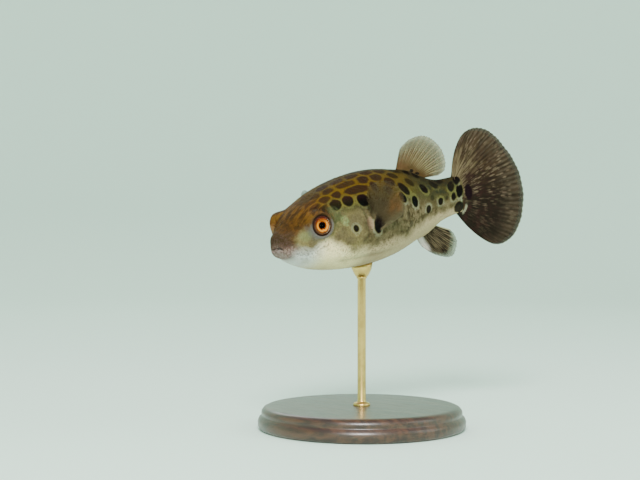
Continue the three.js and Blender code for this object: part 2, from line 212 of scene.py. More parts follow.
relief = np.zeros_like(STATION)
for station, down, reach_along, reach_across, height in SWELLINGS:
    distance = np.hypot((STATION - station) / reach_along, across_mm(down) / reach_across)
    relief += height * bump_shape(distance)
for station, reach, height in (LIP_ROLL, LIP_CREASE):
    relief += height * bump_shape((RING - station) / reach)
lip_wrinkles = 0.045 * np.sin(31 * TURN) * bump_shape((RING - 0.3) / 0.9)
gill_share = (DOWN - GILL_SLIT["middle"]) / GILL_SLIT["span"]
gill_line = GILL_SLIT["station"] - GILL_SLIT["curve"] * gill_share**2
gill_ends = smooth(np.abs(DOWN - GILL_SLIT["middle"]), GILL_SLIT["span"], GILL_SLIT["span"] * 0.6)
gill_slit = bump_shape((STATION - gill_line) / GILL_SLIT["reach"]) * gill_ends
fold_ends = smooth(STATION, BELLY_FOLD["from"], BELLY_FOLD["from"] + 5)
fold_ends *= smooth(STATION, BELLY_FOLD["to"], BELLY_FOLD["to"] - 12)
belly_fold = bump_shape(across_mm(BELLY_FOLD["down"]) / (BELLY_FOLD["reach"] / 4)) * fold_ends
relief += lip_wrinkles - GILL_SLIT["depth"] * gill_slit - BELLY_FOLD["depth"] * belly_fold
outward = np.stack([LEFT, HEIGHT - WIDEST], -1)
outward /= np.linalg.norm(outward, axis=-1, keepdims=True) + 1e-9
body_points = np.stack([STATION, LEFT + outward[..., 0] * relief, HEIGHT + outward[..., 1] * relief], -1)

# The snout juts a little over the lips, and the mouth's corners turn down.
SNOUT_OVERHANG = {"ring": 1.9, "reach": 1.7, "length": 1.15}
jut = bump_shape((RING - SNOUT_OVERHANG["ring"]) / SNOUT_OVERHANG["reach"]) * smooth(np.cos(TURN), 0.0, 0.8)
body_points[..., 0] -= SNOUT_OVERHANG["length"] * jut
MOUTH_DROOP = 0.45
droop = MOUTH_DROOP * np.minimum(np.abs(LEFT) / 2.3, 1.3) ** 2 * smooth(RING, 2.4, 0.2)
body_points[..., 2] -= droop

# Each eye sits in a round opening with a soft rolled rim. Heights here are measured outward from
# the middle of the eyeball, along its line of sight.
EYE_MIDDLE = (10.4, 7.7, 3.4)  # station, side, height
EYE_RADIUS = 3.4
EYE_OPENING = 2.95
EYE_FORWARD, EYE_UP = math.radians(20), math.radians(5)
EYE_RIM = {"width": 0.9, "rise": 0.26, "fade": 5.0}
EYE_BROW = 0.66  # how much further the rim stands out over the eye
SOCKET_DEPTH = 2.4


def line_of_sight(side):
    level = math.cos(EYE_UP)
    return np.array([-math.sin(EYE_FORWARD) * level, side * math.cos(EYE_FORWARD) * level, math.sin(EYE_UP)])


eye_distance = np.full_like(STATION, 99.0)
eye_upper = np.zeros_like(STATION)  # the height above the middle of the nearer eye
opening_height = math.sqrt(EYE_RADIUS**2 - EYE_OPENING**2)
for side in (1, -1):
    sight = line_of_sight(side)
    offset = body_points - np.array([EYE_MIDDLE[0], side * EYE_MIDDLE[1], EYE_MIDDLE[2]])
    outward_height = offset @ sight
    distance = np.linalg.norm(offset - outward_height[..., None] * sight, axis=-1)
    distance = np.where(outward_height > -1.5, distance, 99.0)
    rim_place = (distance - EYE_OPENING - EYE_RIM["width"] / 2) / (EYE_RIM["width"] / 2)
    rim = opening_height + EYE_RIM["rise"] * np.sqrt(np.clip(1 - rim_place**2, 0, 1))
    over_eye = (offset @ np.array([-0.35, 0, 0.94])) / np.maximum(distance, 0.5)
    rim += EYE_BROW * smooth(over_eye, 0.0, 0.95) * smooth(distance, EYE_OPENING, EYE_OPENING + 0.9)
    ball = np.sqrt(np.clip(EYE_RADIUS**2 - distance**2, 0, None))
    inside = smooth(distance, EYE_OPENING + 0.12, EYE_OPENING - 0.35)
    wanted = (rim * (1 - inside)) + (ball - SOCKET_DEPTH) * inside
    near = smooth(distance, EYE_RIM["fade"], EYE_OPENING + EYE_RIM["width"] * 0.8)
    body_points += (near * (wanted - outward_height))[..., None] * sight
    eye_upper = np.where(distance < eye_distance, offset[..., 2], eye_upper)
    eye_distance = np.minimum(eye_distance, distance)


def shell(name, points, capped=True):
    """A mesh piece from rings of points in metres, closed at both ends if capped."""
    count, around = points.shape[:2]
    vertices = list(map(tuple, points.reshape(-1, 3)))
    index = np.arange(count * around).reshape(count, around)
    right = np.roll(index, -1, axis=1)
    faces = np.stack([index[:-1], index[1:], right[1:], right[:-1]], -1).reshape(-1, 4).tolist()
    if capped:
        for row, flip in ((index[0], False), (index[-1], True)):
            middle = len(vertices)
            vertices.append(tuple(points.reshape(-1, 3)[row].mean(0)))
            ring = np.roll(row, -1)
            pairs = zip(ring, row) if flip else zip(row, ring)
            faces += [(int(a), int(b), middle) for a, b in pairs]
    mesh = bpy.data.meshes.new(name)
    mesh.from_pydata(vertices, [], faces)
    mesh.validate()
    return finished_piece(name, mesh)


def finished_piece(name, mesh):
    tidy = bmesh.new()
    tidy.from_mesh(mesh)
    bmesh.ops.recalc_face_normals(tidy, faces=tidy.faces)
    tidy.to_mesh(mesh)
    tidy.free()
    mesh.shade_smooth()
    piece = bpy.data.objects.new(name, mesh)
    bpy.context.collection.objects.link(piece)
    return piece


def keep_values(piece, **values):
    """Stores a value for each point of a piece, for its material to read."""
    for name, numbers in values.items():
        numbers = np.asarray(numbers, np.float32).ravel()
        spare = len(piece.data.vertices) - len(numbers)
        if spare:
            numbers = np.concatenate([numbers, np.full(spare, numbers[-1], np.float32)])
        piece.data.attributes.new(name, "FLOAT", "POINT").data.foreach_set("value", numbers)


skin = shell("skin", placed(*np.moveaxis(body_points, -1, 0)))

# The dark spots: station, degrees down from the back, size along and across the body in mm,
# how far each is turned, and how dark it is.
LEFT_SPOTS = [
    (28.0, 57, 3.5, 3.1, 0, 1.0),
    (22.3, 51, 3.0, 2.7, 10, 0.95),
    (17.4, 48, 3.4, 2.8, 10, 0.9),
    (20.2, 34, 2.7, 2.3, 20, 0.85),
    (15.8, 30, 2.9, 2.2, 15, 0.75),
    (19.6, 18, 3.4, 2.2, 10, 0.75),
    (28.0, 40, 7.4, 2.2, 4, 0.85),
    (26.6, 24, 6.6, 2.0, 6, 0.75),
    (33.4, 28, 4.4, 2.6, 0, 0.85),
    (39.2, 30, 4.0, 2.3, 0, 0.8),
    (31.6, 13, 4.4, 2.0, 0, 0.75),
    (26.0, 9, 4.0, 2.2, 0, 0.7),
    (35.4, 43, 2.4, 3.3, 10, 0.85),
    (43.6, 42, 3.5, 2.4, 10, 0.85),
    (47.6, 31, 3.6, 2.0, 8, 0.8),
    (44.0, 18, 3.4, 2.4, 0, 0.75),
    (38.2, 15, 3.6, 2.4, 0, 0.75),
    (40.6, 53, 3.0, 2.6, 20, 0.85),
    (49.2, 55, 4.2, 2.5, 35, 0.95),
    (46.4, 66, 3.8, 2.6, 35, 1.0),
    (53.2, 75, 3.4, 3.5, 20, 1.0),
    (54.4, 44, 3.0, 2.0, 20, 0.75),
    (60.6, 55, 2.7, 2.1, 30, 0.95),
    (51.6, 16, 3.6, 2.0, 0, 0.75),
    (57.4, 14, 2.4, 1.5, 0, 0.95),
    (60.4, 15, 2.4, 1.5, 0, 0.95),
    (66.2, 40, 2.6, 1.9, 20, 0.8),
    (69.2, 22, 2.4, 1.6, 0, 0.75),
    (60.7, 98, 2.7, 2.4, 20, 0.95),
    (63.6, 79, 1.8, 1.6, 0, 0.55),
    (67.4, 93, 2.2, 2.2, 20, 0.95),
    (70.4, 88, 1.2, 1.3, 0, 0.6),
    (73.3, 89, 1.7, 2.3, 20, 0.95),
    (73.0, 55, 1.8, 2.4, 20, 0.85),
    (76.0, 36, 2.2, 2.4, 0, 1.0),
    (76.3, 76, 2.6, 3.6, 20, 1.0),
    (75.3, 130, 4.2, 3.7, 0, 0.95),
    (21.9, 86, 2.0, 1.9, 20, 0.95),
    (30.2, 87, 2.8, 4.0, 10, 1.0),
    (42.9, 82, 2.6, 2.6, 20, 0.45),
    (47.3, 87, 1.9, 2.8, 20, 0.5),
    (48.7, 101, 2.4, 2.2, 0, 0.5),
    (64.6, 116, 1.8, 1.2, 0, 0.4),
    (13.2, 46, 3.2, 2.2, 10, 0.55),
    (12.2, 28, 2.6, 1.7, 20, 0.55),
    (12.6, 14, 2.8, 1.6, 10, 0.5),
    (15.6, 10, 3.0, 1.8, 0, 0.6),
]
MIDDLE_SPOTS = [(20.6, 2, 3.2, 2.2, 0, 0.7), (36.4, 0, 4.6, 2.2, 0, 0.75), (42.2, 3, 4.0, 2.2, 0, 0.75)]
MIDDLE_SPOTS += [(48.0, 0, 4.2, 2.2, 0, 0.75), (53.8, 2, 3.0, 1.6, 0, 0.75), (66.0, 4, 3.6, 1.8, 0, 0.75)]
RIGHT_SIDE_SEED = 4
BACK_SPOT_GROWTH = 1.34  # the spots of the back all but touch, with ochre lines between them
FLANK_SPOT_GROWTH = 1.0
LINE_BETWEEN_SPOTS = 0.38


def right_spots():
    """The right side's own spots: the left side's pattern, with each spot shifted a little."""
    chance = np.random.default_rng(RIGHT_SIDE_SEED)
    for station, down, length, height, turn, dark in LEFT_SPOTS:
        shift, slide, grow = chance.uniform((-0.9, -4, 0.85), (0.9, 4, 1.15))
        moved = slide * smooth(np.array(down), 5, 25)
        yield station + shift, -(down + moved), length * grow, height * grow, -turn, dark


# Where the ochre back gives way to the mottled flank, and the flank to the pale belly.
BACK_EDGE = [(0, 30), (3, 50), (5, 60), (7, 60), (9, 50), (12, 48), (15, 47), (20, 57), (31, 60), (41, 63)]
BACK_EDGE += [(51, 64), (60, 66), (68, 74), (80, 78)]
BELLY_EDGE = [(0, 96), (2.4, 104), (4, 108), (5.7, 105), (7.7, 98), (9.6, 92), (12.2, 91)]
BELLY_EDGE += [(14, 95), (16, 102)]
BELLY_EDGE += [(19, 111), (22.7, 116), (26, 111), (33, 110), (46, 115), (54, 113), (61, 114)]
BELLY_EDGE += [(70, 124), (80, 134)]
back_edge = along(BACK_EDGE, ring_list)[:, 0]
belly_edge = along(BELLY_EDGE, ring_list)[:, 0]
back_reach = reach_down_to(back_edge)
belly_reach = reach_down_to(belly_edge)
below_back = np.abs(AROUND) - back_reach
below_flank = np.abs(AROUND) - belly_reach

# The signed distance to the nearest spot's edge. Between two spots that meet, a line stays clear.
spot_edge = np.full_like(STATION, 6.0)
second_edge = np.full_like(STATION, 6.0)
spot_dark = np.zeros_like(STATION)
for station, down, length, height, turn, dark in LEFT_SPOTS + MIDDLE_SPOTS + list(right_spots()):
    on_back = smooth(abs(down) - np.interp(station, ring_list, back_edge), 6, -6)
    grow = FLANK_SPOT_GROWTH + (BACK_SPOT_GROWTH - FLANK_SPOT_GROWTH) * on_back
    back = STATION - station
    lower = (AROUND - reach_down_to(down)) * math.copysign(1, down)
    c, s = math.cos(math.radians(turn)), math.sin(math.radians(turn))
    long_way, short_way = back * c + lower * s, lower * c - back * s
    reach = np.hypot(long_way / (length * grow / 2), short_way / (height * grow / 2))
    edge = np.where(RING > 0.9, (reach - 1) * min(length, height) * grow / 2, 6.0)
    spot_dark = np.where(edge < spot_edge, dark, spot_dark)
    second_edge = np.minimum(second_edge, np.maximum(edge, spot_edge))
    spot_edge = np.minimum(edge, spot_edge)
spot_edge = np.maximum(spot_edge, LINE_BETWEEN_SPOTS - (second_edge - spot_edge) / 2)

# Painted shade: the skin is darkened in the gill slit, along the belly fold and inside the mouth.
folds = gill_slit + 0.5 * belly_fold + bump_shape((RING + 1.5) / 0.7)
keep_values(
    skin,
    spot_edge=np.clip(spot_edge, -3, 3),
    spot_dark=spot_dark,
    station=STATION,
    ring=RING,
    around=np.abs(AROUND),
    below_back=below_back,
    below_flank=below_flank,
    lower=HEIGHT - WIDEST,
    eye_distance=np.minimum(eye_distance, 12),
    eye_upper=eye_upper,
    fold=np.clip(folds, 0, 1),
    round_x=np.cos(TURN),
    round_y=np.sin(TURN),
)


class Value:
    """A number, vector or colour of a material under construction, for use in expressions."""

    def __init__(self, finish, socket):
        self.finish = finish
        self.socket = socket

    def __add__(self, other):
        return self.finish.maths("ADD", self, other)

    def __radd__(self, other):
        return self.finish.maths("ADD", other, self)

    def __sub__(self, other):
        return self.finish.maths("SUBTRACT", self, other)

    def __rsub__(self, other):
        return self.finish.maths("SUBTRACT", other, self)

    def __mul__(self, other):
        return self.finish.maths("MULTIPLY", self, other)

    def __rmul__(self, other):
        return self.finish.maths("MULTIPLY", other, self)

    def __truediv__(self, other):
        return self.finish.maths("DIVIDE", self, other)

    def __pow__(self, other):
        return self.finish.maths("POWER", self, other)


class Finish:
    """A material under construction. node() adds any node; the rest are the common ones."""

    def __init__(self, name):
        self.material = bpy.data.materials.new(name)
        self.material.use_nodes = True
        self.tree = self.material.node_tree
        self.tree.nodes.clear()

    def node(self, kind, settings=None, sockets=None):
        made = self.tree.nodes.new("ShaderNode" + kind)
        for setting, value in (settings or {}).items():
            setattr(made, setting, value)
        for socket, value in (sockets or {}).items():
            if isinstance(value, Value):
                self.tree.links.new(value.socket, made.inputs[socket])
            else:
                made.inputs[socket].default_value = value
        return made

    def maths(self, operation, *terms):
        made = self.node("Math", {"operation": operation}, dict(enumerate(terms)))
        return Value(self, made.outputs[0])

    def attribute(self, name):
        return Value(self, self.node("Attribute", {"attribute_name": name}).outputs["Fac"])

    def place(self, stretch=(1, 1, 1)):
        """The point's own place, in mm, stretched along each axis."""
        point = Value(self, self.node("TexCoord").outputs["Object"])
        scale = [1 / MM * factor for factor in stretch]
        made = self.node("VectorMath", {"operation": "MULTIPLY"}, {0: point, 1: scale})
        return Value(self, made.outputs[0])

    def vector(self, x, y, z=0.0):
        return Value(self, self.node("CombineXYZ", {}, {0: x, 1: y, 2: z}).outputs[0])

    def noise(self, where, size, detail=2.0, roughness=0.5, distortion=0.0):
        """Cloudy noise from about 0.2 to 0.8, whose patches are about size across."""
        sockets = {"Vector": where, "Scale": 1 / size, "Detail": detail, "Roughness": roughness}
        made = self.node("TexNoise", {}, {**sockets, "Distortion": distortion})
        return Value(self, made.outputs["Fac"])

    def cells(self, where, size, feature="F1", randomness=1.0):
        """The distance to the middle or edge of scattered cells, as a share of their size."""
        sockets = {"Vector": where, "Scale": 1 / size, "Randomness": randomness}
        return Value(self, self.node("TexVoronoi", {"feature": feature}, sockets).outputs["Distance"])

    def rise(self, value, low, high, top=1.0):
        """0 below low, top above high, and a smooth rise between them."""
        limits = {"Value": value, "From Min": low, "From Max": high, "To Min": 0.0, "To Max": top}
        if low > high:
            limits.update({"From Min": high, "From Max": low, "To Min": top, "To Max": 0.0})
        made = self.node("MapRange", {"interpolation_type": "SMOOTHSTEP"}, limits)
        return Value(self, made.outputs[0])

    def mix(self, share, first, second, how="MIX"):
        settings = {"data_type": "RGBA", "blend_type": how, "clamp_factor": True}
        return Value(self, self.node("Mix", settings, {0: share, 6: first, 7: second}).outputs[2])

    def bump(self, height, distance, under=None):
        sockets = {"Height": height, "Distance": distance * MM, "Strength": 1.0}
        if under:
            sockets["Normal"] = under
        return Value(self, self.node("Bump", {}, sockets).outputs[0])

    def surface(self, **sockets):
        names = {name.replace("_", " ").title().replace("Ior", "IOR"): v for name, v in sockets.items()}
        shader = self.node("BsdfPrincipled", {}, names)
        self.show(Value(self, shader.outputs[0]))
        return self.material

    def show(self, shader):
        output = self.node("OutputMaterial")
        self.tree.links.new(shader.socket, output.inputs["Surface"])


def paint(red, green, blue):
    """A colour given as a painter's swatch, 0 to 255, as the linear light that shaders work in."""
    shares = [v / 255 for v in (red, green, blue)]
    return tuple(v / 12.92 if v <= 0.04045 else ((v + 0.055) / 1.055) ** 2.4 for v in shares) + (1.0,)


OCHRE = paint(94, 71, 18)
OLIVE_OCHRE = paint(70, 61, 27)
CELL_BROWN = paint(33, 18, 18)
SPOT_BLACK = paint(12, 11, 9)
RIDGE_DARK = paint(40, 32, 20)
FOREHEAD = paint(100, 68, 26)
FOREHEAD_DARK = paint(54, 37, 18)
SNOUT = paint(80, 53, 22)
SNOUT_DARK = paint(56, 43, 28)
LIP_MAUVE = paint(78, 60, 54)
FLANK_OLIVE = paint(98, 87, 62)
FLANK_PALE = paint(116, 104, 68)
FLANK_BROWN = paint(54, 45, 27)
HALO_YELLOW = paint(108, 106, 58)
HALO_GREY = paint(136, 138, 112)
BELLY_WHITE = paint(240, 220, 168)
BELLY_GREY_AND_SHADE = paint(157, 134, 107)
CHIN_PALE = paint(204, 203, 198)
CHIN_PINK = paint(116, 88, 82)
SHEEN_GREEN = paint(128, 148, 96)
REAR_OLIVE = paint(82, 72, 48)
REAR_PALE = paint(108, 96, 70)
LID_GREY = paint(92, 88, 84)
LID_EDGE_SHADE = paint(66, 48, 38)
LID_BROWN = paint(74, 52, 34)
DUSKY_OLIVE = paint(62, 58, 33)
SNOUT_GREEN = paint(104, 104, 68)
EYE_GREEN = paint(66, 69, 43)
STALK_OLIVE = paint(41, 42, 29)
REAR_OCHRE = paint(80, 63, 24)
EDGE_OLIVE = paint(88, 82, 38)
FIN_ROOT_TAN = paint(96, 84, 60)
CAUDAL_BROWN = paint(50, 37, 25)


def skin_finish():
    f = Finish("puffer_skin")
    point = f.place()
    broad = f.noise(point, 3.4, 3.0)
    blotch = f.noise(point, 1.4, 3.0, 0.6)
    speck = f.noise(point, 0.62, 3.0, 0.65)
    grain = f.noise(point, 0.26, 2.0, 0.6)
    cloud = broad - 0.5
    dapple = blotch - 0.5
    dust = speck - 0.5
    station, ring = f.attribute("station"), f.attribute("ring")
    around, lower = f.attribute("around"), f.attribute("lower")
    below_back, below_flank = f.attribute("below_back"), f.attribute("below_flank")
    eye, eye_upper = f.attribute("eye_distance"), f.attribute("eye_upper")
    rough_edge = cloud * 5.0 + dust * 3.0
    # the back: ochre, greener and darker towards the tail, and darkest along the ridge
    back = f.mix(f.rise(station + cloud * 12, 28, 46), OCHRE, REAR_OCHRE)
    back = f.mix(f.rise(below_back + dapple * 3, -4.5, -0.8, 0.6), back, EDGE_OLIVE)
    back = f.mix(f.rise(station + cloud * 10, 48, 64), back, STALK_OLIVE)
    back = f.mix(f.rise(blotch, 0.42, 0.68, 0.6), back, OLIVE_OCHRE)
    # the forehead: streaks that run from the snout back over the head
    streak = f.noise(f.vector(station * 0.2, around * 1.35, lower * 0.1), 1.0, 3.0, 0.6, 0.6)
    forehead = f.mix(f.rise(streak, 0.4, 0.58), FOREHEAD_DARK, FOREHEAD)
    forehead = f.mix(f.rise(station, 9, 4), forehead, f.mix(f.rise(blotch, 0.35, 0.65), SNOUT, FOREHEAD_DARK))
    back = f.mix(f.rise(station + cloud * 6, 18, 12), back, forehead)
    ridge = f.rise(around + (streak - 0.5) * 6, 5.0, 1.2, 0.65) * f.rise(station, 3, 16)
    back = f.mix(ridge, back, RIDGE_DARK)
    # the flank: olive and pale blotches with brown freckles, browner in the middle of the body
    flank = f.mix(f.rise(broad, 0.38, 0.62), FLANK_OLIVE, FLANK_PALE)
    rear = f.mix(f.rise(broad, 0.38, 0.62), REAR_OLIVE, REAR_PALE)
    flank = f.mix(f.rise(station + dapple * 8, 21, 29), flank, rear)
    browner = f.rise(station, 24, 34) * f.rise(station, 62, 52)
    flank = f.mix(f.rise(blotch, 0.44, 0.64) * (0.3 + browner * 0.45), flank, FLANK_BROWN)
    flank = f.mix(f.rise(speck, 0.44, 0.66, 0.34), flank, FLANK_BROWN)
    upper = f.rise(below_back + dapple * 3, 3.6, 0.8)
    flank = f.mix(upper * f.rise(station, 11, 17) * 0.85, flank, DUSKY_OLIVE)
    before_eye = f.rise((station - 5.4) ** 2.0 / 3.0 + (below_back - 1.4) ** 2.0 / 2.4, 1.4, 0.3, 0.75)
    flank = f.mix(before_eye, flank, SNOUT_GREEN)
    rear_light = f.rise(below_back + cloud * 2, 3.2, 5.0)
    rear_light = rear_light * f.rise(station, 44, 52) * f.rise(station, 70, 64)
    flank = f.mix(rear_light * f.rise(blotch, 0.62, 0.4, 0.6), flank, paint(118, 104, 78))
    # the belly: off-white, pinkish grey towards the tail and along its keel, partly its own tone and partly
    # painted shade on its underside and rear
    keel = f.rise(below_flank, 5, 14)
    belly = f.mix(f.rise(station, 20, 30, 0.75), BELLY_WHITE, BELLY_GREY_AND_SHADE)
    belly = f.mix(keel * 0.55, belly, BELLY_GREY_AND_SHADE)
    belly = f.mix(f.rise(station, 12, 5), belly, CHIN_PALE)
    belly = f.mix(f.rise(broad, 0.5, 0.72, 0.3), belly, BELLY_GREY_AND_SHADE)
    freckled = f.rise(below_flank + dapple * 3, 4.6, 0.4) * f.rise(station, 46, 34, 0.4)
    freckles = f.rise(speck, 0.44, 0.62) * freckled * 0.7
    freckles = freckles + f.rise(speck, 0.5, 0.64) * f.rise(below_flank, 5.5, 0.5, 0.4)
    belly = f.mix(freckles, belly, FLANK_BROWN)
    colour = f.mix(f.rise(below_back + rough_edge * 0.6, -1.2, 1.2), back, flank)
    colour = f.mix(f.rise(below_flank + rough_edge, -1.8, 1.9), colour, belly)
    # the brown snout, darkest at its tip, over mauve lips
    snout = f.mix(f.rise(blotch, 0.4, 0.65, 0.6), SNOUT, SNOUT_DARK)
    snout = f.mix(f.rise(station + cloud * 3, 3.4, 1.0, 0.8), snout, SNOUT_DARK)
    over_far_brow = f.rise(eye + dapple, 5.8, 4.4)
    over_far_brow = over_far_brow * f.rise(eye_upper + dapple * 2, -0.4, 1.4)
    colour = f.mix(over_far_brow * 0.9, colour, forehead)
    snout_share = f.rise(station + cloud * 3 + dust * 1.5, 4.2, 2.2)
    snout_share = snout_share * f.rise(below_flank + dapple * 3, 0.4, -2.0)
    colour = f.mix(snout_share, colour, snout)
    lips = f.mix(f.rise(lower + dapple * 2.4, 2.0, -0.6), SNOUT_DARK, CHIN_PINK)
    lips = f.mix(f.rise(speck, 0.42, 0.6, 0.7) * f.rise(lower, -2.2, -0.6), lips, LIP_MAUVE)
    lips = f.mix(f.rise(speck, 0.5, 0.38, 0.5) * f.rise(lower, 1.6, -0.4), lips, paint(150, 132, 124))
    colour = f.mix(f.rise(ring + cloud * 3 + dust * 2, 4.2, 0.9, 0.9), colour, lips)
    # the skin passes into the tail fin behind a thin pale line
    root = f.rise(station + dust * 1.4 + cloud * 2.0, 76.4, 77.2)
    fin_root = f.mix(f.rise(lower + dapple * 3, 1.2, 3.4, 0.75), CAUDAL_BROWN, FIN_ROOT_TAN)
    colour = f.mix(root * 0.95, colour, fin_root)
    pale_line = f.rise((station - 76.7 + dapple) ** 2.0, 0.3, 0.02) * f.rise(lower, 4.5, 2.5)
    colour = f.mix(pale_line * f.rise(lower + dapple * 2, -6.5, -4.5) * 0.6, colour, HALO_GREY)
    # spots, with pale edges on the flank
    dark = f.attribute("spot_dark")
    edge = f.attribute("spot_edge") + dapple * 0.5 + dust * 0.35
    halo = f.rise(edge, 0.05, 0.35) * f.rise(edge + dust * 1.6, 1.2, 0.4)
    halo = halo * f.rise(below_back, -3.5, -0.5) * f.rise(dark, 0.6, 0.9) * f.rise(below_flank, -1.0, -3.0)
    halo_colour = f.mix(f.rise(below_back + dapple * 5, 0.8, 3.4), HALO_YELLOW, HALO_GREY)
    halo = halo * (f.rise(station, 11, 15) * 0.35 + f.rise(station, 24, 44, 0.15))
    colour = f.mix(halo, colour, halo_colour)
    blacker = f.maths("MAXIMUM", f.rise(below_back, -3.0, 0.0), f.rise(station, 42, 50, 0.85))
    spot_colour = f.mix(blacker, CELL_BROWN, SPOT_BLACK)
    colour = f.mix(f.rise(edge, 0.3, -0.16) * dark, colour, spot_colour)
    # a green-gold sheen behind the eye, and a grey-mauve lid round it
    beside_eye = f.rise((station - 15.4) ** 2.0 / 7.0 + (below_back - 3.2) ** 2.0 / 12.0, 1.3, 0.3)
    colour = f.mix(beside_eye * f.rise(blotch, 0.3, 0.55, 0.85), colour, EYE_GREEN)
    sheen_place = (station - 18.5) ** 2.0 / 2.6 + (below_back - 4.6) ** 2.0 / 3.0
    sheen = f.rise(sheen_place + dapple * 2, 1.5, 0.1) * f.rise(speck, 0.34, 0.62)
    colour = f.mix(sheen * 0.6, colour, SHEEN_GREEN)
    before_fin = (station - 28.0) ** 2.0 / 0.8 + (below_back - 6.6) ** 2.0 / 4.6
    colour = f.mix(f.rise(before_fin + dust * 2.5, 1.4, 0.1, 0.5), colour, paint(160, 128, 104))
    lid = f.mix(f.rise(eye_upper + dapple * 3, -0.2, 2.4), LID_GREY, LID_BROWN)
    soft_lid = f.rise(eye + dapple, 5.4, 3.9, 0.6)
    soft_lid = soft_lid * f.rise(eye_upper + dapple * 2, 1.6, 0.0)
    colour = f.mix(soft_lid * f.rise(station, 9.5, 7.5), colour, LID_GREY)
    colour = f.mix(f.rise(eye + dapple * 0.8, 4.1, 3.6, 0.85), colour, lid)
    far_rim = f.rise(eye, 5.4, 4.4, 0.5) * f.rise(f.attribute("round_y"), 0.0, -0.2)
    far_rim = far_rim * f.rise(station, 8.6, 7.0)
    colour = f.mix(far_rim * f.rise(eye_upper + dapple * 2, 2.2, 0.6), colour, paint(150, 100, 58))
    # painted shade in the gap where the lid's edge meets the eyeball
    colour = f.mix(f.rise(eye, 3.3, 3.0, 0.7), colour, LID_EDGE_SHADE)
    # painted shade in the gill slit, along the belly fold and inside the mouth
    colour = f.mix(f.attribute("fold") * 0.55, colour, FLANK_BROWN, "MULTIPLY")
    colour = f.mix(f.rise(grain, 0.3, 0.7, 0.3), colour, f.mix(1.0, colour, paint(120, 108, 92), "MULTIPLY"))
    # fine granules, and softer wrinkles under them
    granule = f.cells(point, 0.4)
    relief = f.bump(granule * -1.0, 0.05, f.bump(blotch, 0.22))
    return f.surface(
        base_color=colour,
        roughness=0.45 + dust * 0.3,
        specular_ior_level=0.01,
        normal=relief,
        subsurface_weight=0.05,
        subsurface_scale=0.0012,
    )


skin_material = skin_finish()
skin.data.materials.append(skin_material)
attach(skin, "root")
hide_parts("upper_lip", "lower_lip", "head", "trunk", "tail_stalk")

# ---- The nasal flaps ----------------------------------------------------------------------------
# In place of an open nostril, each side of the snout has a soft flap, forked into two rounded
# lobes, that stands up from the skin.

FLAP_STATION, FLAP_DOWN = 5.0, 40.0
FLAP_LENGTH, FLAP_WIDTH, FLAP_THICKNESS = 1.15, 0.23, 0.13
FLAP_SPREAD = math.radians(17)  # how far each lobe leans from the flap's middle
FLAP_SINK = 0.25


def flap_finish():
    f = Finish("nasal_flap")
    mottle = f.noise(f.place(), 0.5, 3.0, 0.6)
    colour = f.mix(f.rise(mottle, 0.4, 0.6), SNOUT, FOREHEAD_DARK)
    return f.surface(base_color=colour, roughness=0.5, specular_ior_level=0.05, normal=f.bump(mottle, 0.03))


flap_material = flap_finish()
skin_normals = np.empty(len(skin.data.vertices) * 3, np.float32)
skin.data.vertices.foreach_get("normal", skin_normals)
skin_normals = skin_normals.reshape(-1, 3)[: STATION.size].reshape(STATION.shape + (3,))
skin_places = placed(*np.moveaxis(body_points, -1, 0))
tailward = np.gradient(skin_places, axis=0)
tailward /= np.linalg.norm(tailward, axis=-1, keepdims=True) + 1e-12
for side, name in ((1, "left"), (-1, "right")):
    row = int(np.argmin(np.abs(np.array(ring_list) - FLAP_STATION)))
    column = int(np.argmin(np.abs(turn_list - (FLAP_DOWN if side == 1 else 360 - FLAP_DOWN))))
    foot, normal, back = skin_places[row, column], skin_normals[row, column], tailward[row, column]
    back = back - normal * np.dot(back, normal)
    back /= np.linalg.norm(back)
    across = np.cross(normal, back)
    for lobe, way in (("front", -1), ("rear", 1)):
        lean = way * FLAP_SPREAD
        up = normal * math.cos(lean) + back * (math.sin(lean) + 0.25)
        up /= np.linalg.norm(up)
        wide = np.cross(across, up)
        share = np.linspace(0, 1, 14)[:, None, None]
        angle = np.linspace(0, 2 * math.pi, 20, endpoint=False)[None, :, None]
        width = FLAP_WIDTH * (1.25 - 0.45 * share) * np.sqrt(1.0001 - share**4)
        thick = FLAP_THICKNESS * (1.15 - 0.6 * share) * np.sqrt(1.0001 - share**5)
        rise = up * (FLAP_LENGTH * share - FLAP_SINK)
        grid = foot + MM * (rise + wide * width * np.cos(angle) + across * thick * np.sin(angle))
        flap = shell(f"nasal_flap_{name}_{lobe}", grid)
        flap.data.materials.append(flap_material)
        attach(flap, "root")

# ---- The prickles -------------------------------------------------------------------------------
# Puffers have no scales but thousands of tiny prickles, sunk in the skin and lying back along it,
# from behind the eyes to the dorsal and anal fins. The face, the fins and the tail stalk are bare.

PRICKLE_LENGTH, PRICKLE_RADIUS = 0.34, 0.07
PRICKLE_SIDES = 5
PRICKLES_PER_MM2 = 1.9
PRICKLE_LEAN = 0.8  # how much of its direction is tailward
PRICKLE_SEED = 11
BAKE_PATCH = 0.003  # each prickle's share of the unwrapped skin

lie = skin_normals * (1 - PRICKLE_LEAN) + tailward * PRICKLE_LEAN
lie /= np.linalg.norm(lie, axis=-1, keepdims=True)
thickly = smooth(STATION, 13.0, 18.0) * smooth(STATION, 62.0, 54.0) * smooth(eye_distance, 4.6, 7.0)
under_pectoral = smooth(np.abs(DOWN - 85), 26, 10) * smooth(STATION, 24.5, 26.5)
thickly = thickly * (1 - under_pectoral * smooth(STATION, 37.0, 34.0))


def node_tree(name, **inputs):
    """A Geometry Nodes tree with its named inputs, and its first and last nodes."""
    tree = bpy.data.node_groups.new(name, "GeometryNodeTree")
    tree.interface.new_socket("Geometry", in_out="INPUT", socket_type="NodeSocketGeometry")
    for label, kind in inputs.items():
        tree.interface.new_socket(label, in_out="INPUT", socket_type="NodeSocket" + kind)
    tree.interface.new_socket("Geometry", in_out="OUTPUT", socket_type="NodeSocketGeometry")
    return tree, tree.nodes.new("NodeGroupInput"), tree.nodes.new("NodeGroupOutput")


